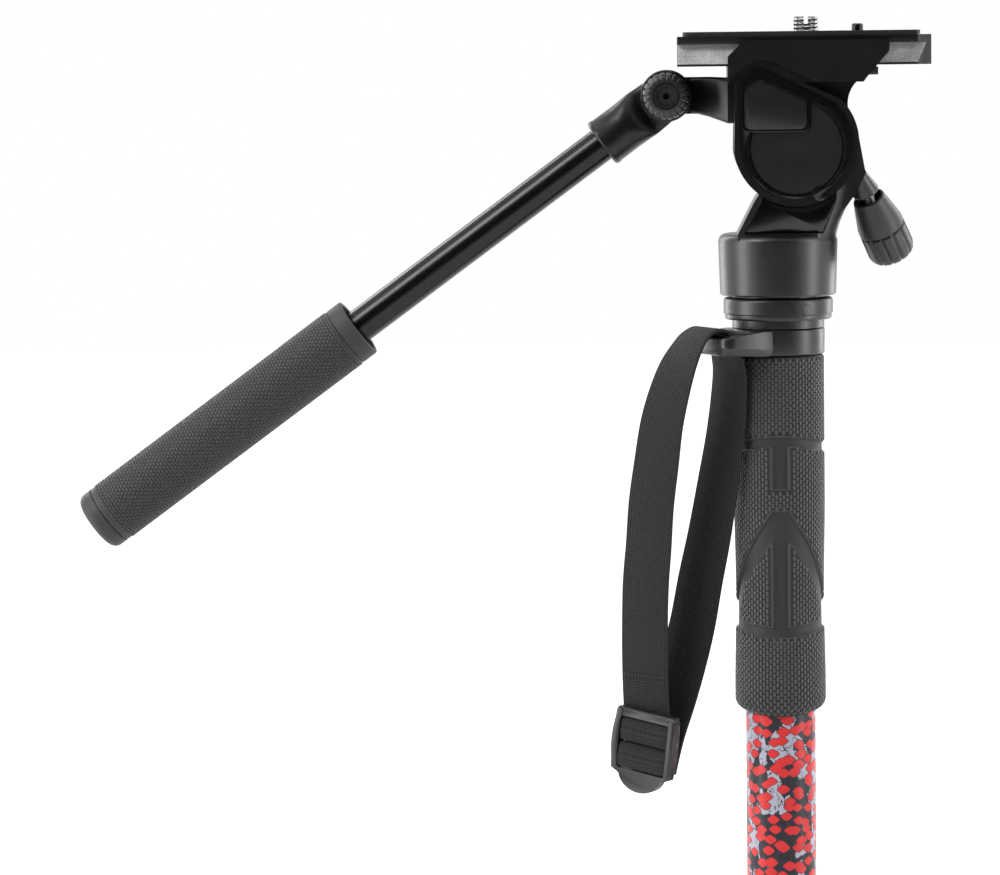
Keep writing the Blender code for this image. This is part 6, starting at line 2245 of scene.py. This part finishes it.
@dataclass
class Leg(Assembly):
    """The upper tube with its print, the twist collars, the inner sections and the foot."""

    upper: float = 0.01265
    step: float = 0.00185
    wall: float = 0.0010
    top: float = 0.4132
    bottoms: tuple[float, ...] = (0.1213, 0.0913, 0.0622, 0.0340)
    tops: tuple[float, ...] = (0.1502, 0.1193, 0.0893, 0.0602)
    seat_share: float = 0.42
    spigot: float = 0.0180
    stagger: float = 0.0030
    collar_wall: float = 0.0030
    rib: float = 0.0008
    ribs: int = 14
    foot: float = 0.0110
    foot_height: float = 0.0320
    lozenges: int = 15
    lozenge_height: float = 0.0039

    def radius(self, section: int) -> float:
        """The outer radius of a section, counted from 1."""
        return self.upper - self.step * (section - 1)

    def ends(self, section: int) -> Point2:
        """The lower and the upper end of a section's tube."""
        if section == len(self.bottoms) + 1:
            low = self.foot_height / 2
        else:
            low, high = self.bottoms[section - 1], self.tops[section - 1]
            low += (high - low) * self.seat_share
        if section == 1:
            return low, self.top
        return low, self.top - self.spigot - self.stagger * (section - 1)

    def tube(self, section: int) -> Piece:
        """Builds one tube with rolled edges."""
        low, high = self.ends(section)
        outer = self.radius(section)
        profile = ring_section(outer - self.wall, outer, low, high, 0.0003)
        name = "leg_tube_upper" if section == 1 else f"leg_tube_{section}"
        return crease(make(name, spun(profile, 128)), 40)

    def map_print(self, piece: Piece) -> None:
        """Gives the upper tube a UV map that counts lozenges round it and along it."""
        layer = piece.data.uv_layers.new(name="UVMap")
        for face in piece.data.polygons:
            middle = math.atan2(face.center.y, face.center.x)
            for corner in face.loop_indices:
                point = piece.data.vertices[piece.data.loops[corner].vertex_index].co
                angle = math.atan2(point.y, point.x)
                if angle - middle > math.pi:
                    angle -= FULL_TURN
                if middle - angle > math.pi:
                    angle += FULL_TURN
                turns = angle / FULL_TURN
                layer.data[corner].uv = (turns * self.lozenges, point.z / self.lozenge_height)

    def collar(self, section: int) -> Piece:
        """Builds a twist collar with rounded ribs between plain end bands."""
        low, high = self.bottoms[section - 1], self.tops[section - 1]
        outer = self.radius(section) + self.collar_wall
        levels = [
            (low, 0.0016),
            (low + 0.0004, 0.0008),
            (low + 0.0012, 0.0002),
            (low + 0.0020, 0.0),
            (high - 0.0020, 0.0),
            (high - 0.0012, 0.0002),
            (high - 0.0004, 0.0008),
            (high, 0.0016),
        ]
        piece = make(f"twist_collar_{section}", fluted(outer, self.rib, self.ribs, levels, 12, 0.6))
        lip = low + (high - low) * self.seat_share - HAIR
        throat = self.radius(section + 1) + 0.0014
        cavity = self.radius(section) + 0.0019
        bore = [
            (0, high + OVERRUN),
            (self.radius(section) + 0.0002, high + OVERRUN),
            (self.radius(section) + 0.0002, high - 0.0015),
            (cavity, high - 0.0015),
            (cavity, lip),
            (throat, lip),
            (throat, low + 0.0012),
            (self.radius(section + 1) + 0.0002, low + 0.0012),
            (self.radius(section + 1) + 0.0002, low - OVERRUN),
            (0, low - OVERRUN),
        ]
        cut(piece, spun(bore, 96))
        return crease(piece, 34)

    def rubber_foot(self) -> Piece:
        """Builds the foot with its waist, its ribs and a grooved sole."""
        heel = self.foot * 1.2
        high = self.foot_height - HAIR
        last = self.radius(len(self.bottoms) + 1) + HAIR
        floor = self.foot_height * 0.25
        section = [
            (last, high),
            *arc((self.foot - 0.0012, high - 0.0012), 0.0012, 90, 0, 5),
            (self.foot, self.foot_height * 0.40),
            (heel - 0.0004, 0.0042),
            *arc((heel - 0.0014, 0.0014), 0.0014, 5, -90, 6),
            (0, 0),
            (0, floor),
            (last, floor),
        ]
        piece = make("foot_boot", spun(section, 112))
        for i in range(4):
            z = self.foot_height * 0.52 + 0.0030 * i
            groove = upright(self.foot - 0.0005, z, self.foot + OVERRUN, z + 0.0010)
            cut(piece, spun(groove, 96))
        for reach in (0.0040, 0.0075, 0.0105):
            groove = upright(reach - 0.0005, -OVERRUN, reach + 0.0005, 0.0007)
            cut(piece, spun(groove, 72))
        return crease(piece, 34)

    def build(self) -> Iterable[str]:
        """Makes the tubes, the collars and the foot."""
        palette = self.palette
        for section in range(1, len(self.bottoms) + 2):
            piece = self.tube(section)
            if section == 1:
                self.map_print(piece)
                yield self.stand(piece, palette.print, "printed_tube", "upper_tube")
            else:
                yield self.stand(piece, palette.anodised, "black_tube", f"leg_section_{section}")
        for section in range(1, len(self.bottoms) + 1):
            rubber, node = palette.collar_rubber, f"lock_collar_{section}"
            yield self.stand(self.collar(section), rubber, "grip_rubber", node)
        yield self.stand(self.rubber_foot(), palette.foot_rubber, "grip_rubber", "rubber_foot")


STRAP_ROUTE: tuple[tuple[float, float, float, float], ...] = (
    (-0.0470, -0.0055, 0.2475, 31),
    (-0.0478, -0.0060, 0.2600, 31),
    (-0.0486, -0.0066, 0.2730, 31),
    (-0.0491, -0.0078, 0.2897, 31),
    (-0.0490, -0.0092, 0.3075, 31),
    (-0.0485, -0.0105, 0.3222, 31),
    (-0.0474, -0.0116, 0.3352, 32),
    (-0.0463, -0.0128, 0.3505, 33),
    (-0.0443, -0.0142, 0.3655, 35),
    (-0.0421, -0.0157, 0.3804, 39),
    (-0.0385, -0.0172, 0.3940, 45),
    (-0.0348, -0.0178, 0.4036, 52),
    (-0.0312, -0.0164, 0.4100, 58),
    (-0.0276, -0.0146, 0.4132, 62),
    (-0.0244, -0.0129, 0.4135, 62),
    (-0.0219, -0.0116, 0.4118, 62),
    (-0.0202, -0.0106, 0.4078, 61),
    (-0.0185, -0.0091, 0.4024, 57),
    (-0.0178, -0.0077, 0.3950, 53),
    (-0.0192, -0.0066, 0.3770, 47),
    (-0.0222, -0.0058, 0.3575, 42),
    (-0.0254, -0.0046, 0.3388, 38),
    (-0.0288, -0.0032, 0.3222, 35),
    (-0.0318, -0.0020, 0.3060, 33),
    (-0.0355, -0.0011, 0.2910, 31),
    (-0.0395, -0.0014, 0.2770, 31),
    (-0.0437, -0.0028, 0.2640, 31),
    (-0.0472, -0.0040, 0.2490, 31),
)


@dataclass
class Strap(Assembly):
    """The wrist strap: its ring on the tube, a band of webbing and a ladder buckle."""

    bore: float = 0.01295
    ring: float = 0.0167
    low: float = 0.4039
    high: float = 0.4132
    reach: float = 0.0300
    bar: float = 0.0044
    bar_rise: float = 0.0064
    yaw: float = math.radians(28)
    width: float = 0.0300
    web: float = 0.0192
    thickness: float = 0.0013
    steps: int = 9
    buckle_thickness: float = 0.0034
    buckle_width: float = 0.0262
    buckle_height: float = 0.0300
    buckle_side: float = 0.0030
    buckle_roll: float = math.radians(8)
    rail: float = 0.0013
    opening: Point2 = (-0.0074, 0.0119)
    split: float = 0.52
    tab: float = 0.0072
    trim: Point2 = (0.0085, 0.0030)
    stitch_rows: Point2 = (0.2885, 0.2862)
    stitches_across: int = 12
    roll_square: Point2 = (0.55, 0.75)
    roll_proud: float = 0.0006
    roll_end: Point2 = (0.94, 0.0160)
    stitch: Point3 = (0.0015, 0.0006, 0.0004)

    def route(self) -> list[tuple[Vector, Vector, Vector, float]]:
        """The webbing's middle line.

        Returns:
            Point, direction across, outward normal and length so far of each station.
        """
        points = [Vector(row) for row in STRAP_ROUTE]
        count = len(points)
        fine = []
        for i in range(count - 1):
            p0, p1, p2, p3 = (points[min(max(k, 0), count - 1)] for k in range(i - 1, i + 3))
            for step in range(self.steps):
                t = step / self.steps
                a = 2 * p1 + (p2 - p0) * t
                b = (2 * p0 - 5 * p1 + 4 * p2 - p3) * t**2
                c = (3 * p1 - p0 - 3 * p2 + p3) * t**3
                fine.append((a + b + c) / 2)
        fine.append(points[-1])
        stations, run = [], 0.0
        for i, station in enumerate(fine):
            here = station.xyz
            ahead = (fine[min(i + 1, len(fine) - 1)].xyz - fine[max(i - 1, 0)].xyz).normalized()
            yaw = math.radians(station.w)
            across = Vector((math.cos(yaw), -math.sin(yaw), 0))
            across = (across - ahead * across.dot(ahead)).normalized()
            if i:
                run += (here - fine[i - 1].xyz).length
            stations.append((here, across, across.cross(ahead).normalized(), run))
        return stations

    def webbing(self) -> Piece:
        """Builds the band with rounded selvedges, mapped in metres."""
        half, thick, edge = self.web / 2, self.thickness / 2, self.thickness * 0.42
        section = rounded(oblong(-half, -thick, half, thick), edge, 3)
        rings, runs = [], []
        stations = self.route()
        last = stations[-1][3] - self.trim[1]
        for here, across, out, run in stations:
            if not self.trim[0] <= run <= last:
                continue
            rings.append([tuple(here + across * u + out * w) for u, w in section])
            runs.append(run)
        count = len(section)
        bm = lofted(rings)
        bm.verts.index_update()
        layer = bm.loops.layers.uv.new("UVMap")
        for face in bm.faces:
            for loop in face.loops:
                row, column = divmod(loop.vert.index, count)
                loop[layer].uv = (section[column][0], runs[row])
        return crease(make("strap_band", bm), 50)

    def stitches(self) -> Piece:
        """Stands rows of stitches across the front strand, on both of its faces."""
        stations = self.route()
        places = []
        front, over = stations[: len(stations) // 2], Matrix.Rotation(math.pi, 3, "X")
        for height in self.stitch_rows:
            here, across, out, _ = min(front, key=lambda s: abs(s[0].z - height))
            turn = Matrix((across, out.cross(across), out)).transposed()
            for k in range(self.stitches_across):
                u = (k - (self.stitches_across - 1) / 2) * self.web * 0.9 / self.stitches_across
                places.append((here + across * u + out * self.thickness / 2, turn, 1.0))
                places.append((here + across * u - out * self.thickness / 2, turn @ over, 1.0))
        shape = pillow(0.7, 8)
        return self.studs.stand("strap_stitches", places, shape, self.stitch, self.palette.thread)

    def loop(self) -> Piece:
        """Builds the ring and the tapering loop that carries the webbing."""
        section = ring_section(self.bore, self.ring, self.low, self.high, 0.0007)
        piece = make("ring_body", spun(section, 128))
        half = self.width / 2
        bar_low = self.low + HAIR * 2
        turn = Matrix.Rotation(self.yaw, 3, "Z")
        bar_high = bar_low + self.bar_rise
        inner = -self.bore - self.thickness
        plans = (
            (-self.reach, half - 0.0030, bar_low + 0.0004, bar_high - 0.0004),
            (-self.reach + 0.0007, half - 0.0014, bar_low, bar_high),
            (-self.reach + 0.0022, half - 0.0002, bar_low, bar_high),
            (-self.reach + 0.0045, half, bar_low, bar_high + 0.0006),
            (inner, half, self.low, self.high - HAIR),
            (inner / 2, half - 0.0022, self.low, self.high - HAIR),
        )
        rings = []
        for x, y, low, high in plans:
            share = min(1.0, max(0.0, (x - inner) / (-self.reach - inner)))
            keel = 0.0030 * share + 0.0004
            knee = low + (high - low) * (0.30 + 0.15 * share)
            corners = [
                (-y + keel, low),
                (y - keel, low),
                (y, knee),
                (y - HAIR, high),
                (-y + HAIR, high),
                (-y, knee),
            ]
            rings.append([(x, a, b) for a, b in rounded(corners, 0.0004, 2)])
        fuse(piece, lofted(rings), turn)
        slot = self.web / 2 + 0.0009
        cut(
            piece,
            block(
                (-self.reach + self.bar, -slot, self.low - OVERRUN),
                (-self.ring - HAIR / 2, slot, self.high + OVERRUN),
            ),
            turn,
        )
        drill(piece, (self.bore, self.high + OVERRUN, self.low - OVERRUN), 128)
        return soften(piece, 0.0004, 2, 34)

    def buckle_frame(self) -> tuple[Vector, Matrix]:
        """Where the buckle's middle is, and its turn."""
        x, y, z, yaw = STRAP_ROUTE[1]
        angle = math.radians(yaw)
        normal = Vector((-math.sin(angle), -math.cos(angle), 0))
        offset = self.thickness + HAIR * 2 + self.buckle_thickness / 2
        roll = Matrix.Rotation(self.buckle_roll, 3, "Y")
        return Vector((x, y, z)) + normal * offset, Matrix.Rotation(-angle, 3, "Z") @ roll

    def buckle(self) -> Piece:
        """Builds the buckle: deep barrel sides, a top bar, a wide opening and a thumb tab."""
        at, turn = self.buckle_frame()
        half, top, face = self.buckle_width / 2, self.buckle_height / 2, self.buckle_thickness / 2
        sill = -top + self.tab
        side = [
            (
                half * (0.94 + 0.06 * math.sin(math.pi * i / 10)),
                top - 0.0012 - (top - 0.0012 - sill) * i / 10,
            )
            for i in range(11)
        ]
        tab = [(half * 0.70 * x, sill + self.tab * y) for x, y in arc((0, 0), 1.0, -12, -168, 16)]
        outline = [
            (half * 0.90, top), *side, *tab, *[(-x, z) for x, z in side[::-1]], (-half * 0.90, top)
        ]
        piece = make("ladder_buckle", prism(outline, -face, face), turn, at)
        for end in (-1, 1):
            rings = []
            for x, z in side:
                reach = self.buckle_side * 0.5
                deep = face + self.rail * math.sin(math.pi * (top - z) / (top - sill))
                ring = rounded(oblong(x - reach * 2, -deep, x, face + HAIR), 0.0009, 4)
                rings.append([(end * a, b, z) for a, b in ring])
            fuse(piece, lofted(rings), turn, at)
        wide = half - self.buckle_side
        corners = oblong(-wide, self.opening[0], wide, self.opening[1])
        cut(piece, prism(rounded(corners, 0.0010, 4), -face - OVERRUN * 2, face + OVERRUN), turn, at)
        return soften(piece, 0.0006, 3, 34)

    def rolls(self) -> Piece:
        """Builds the two turns of webbing that fill the buckle's opening."""
        at, turn = self.buckle_frame()
        face = self.buckle_thickness / 2
        reach = self.buckle_width / 2 - self.buckle_side - HAIR
        low, high = self.opening
        middle = low + (high - low) * self.split
        bm = bmesh.new()
        layer = bm.loops.layers.uv.new("UVMap")
        section = arc((0, 0), 1.0, 0, 360, 31)[:-1]
        count = len(section)
        for base, roof in ((low + HAIR, middle - HAIR / 2), (middle + HAIR / 2, high - HAIR)):
            half = (roof - base) / 2
            rings = []
            for step in range(13):
                share = step / 12 * 2 - 1
                past = max(0.0, abs(share) - self.roll_end[0])
                end = math.sqrt(max(0.0, 1 - past**2 / self.roll_end[1]))
                ring = []
                for a, b in section:
                    up = math.copysign(abs(a) ** self.roll_square[0], a)
                    out = math.copysign(abs(b) ** self.roll_square[1], b)
                    z = (base + roof) / 2 + half * up
                    ring.append((reach * share, (face + self.roll_proud) * end * out, z))
                rings.append([bm.verts.new(p) for p in ring])
            for r in range(len(rings) - 1):
                for k in range(count):
                    n = (k + 1) % count
                    made = bm.faces.new((rings[r][k], rings[r][n], rings[r + 1][n], rings[r + 1][k]))
                    marks = ((r, k), (r, k + 1), (r + 1, k + 1), (r + 1, k))
                    for loop, (a, b) in zip(made.loops, marks):
                        loop[layer].uv = (a * reach / 6, b * math.pi * half * 2 / count)
            bm.faces.new(rings[0][::-1])
            bm.faces.new(rings[-1])
        return crease(make("buckle_rolls", bm, turn, at), 50)

    def build(self) -> Iterable[str]:
        """Makes the ring, the webbing with its stitches and the buckle."""
        palette = self.palette
        yield self.stand(self.loop(), palette.casting, "casting", "strap_ring")
        yield self.stand(self.webbing(), palette.webbing, "webbing", "strap_webbing")
        yield self.stand(self.stitches(), palette.thread, "webbing", "strap_webbing", hides=False)
        yield self.stand(self.rolls(), palette.webbing, "webbing", "strap_webbing", hides=False)
        yield self.stand(self.buckle(), palette.buckle, "plastic", "strap_buckle")


ASSEMBLIES: tuple[type[Assembly], ...] = (
    HandGrip,
    PanBar,
    LockKnob,
    CameraPlate,
    TiltHead,
    PanHousing,
    HeadMount,
    Leg,
    Strap,
)


# The whole monopod


def main() -> None:
    """Dresses the monopod."""
    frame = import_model()
    Studio().build()
    palette = Palette()
    Dresser(frame["nodes"], palette).dress()
    studs = StudTree()
    for part in ASSEMBLIES:
        assembly = part(palette, frame["nodes"], studs)
        for name in assembly.build():
            LOG.info("made %s", name)


if __name__ == "__main__":
    logging.basicConfig(level=logging.INFO)
    main()
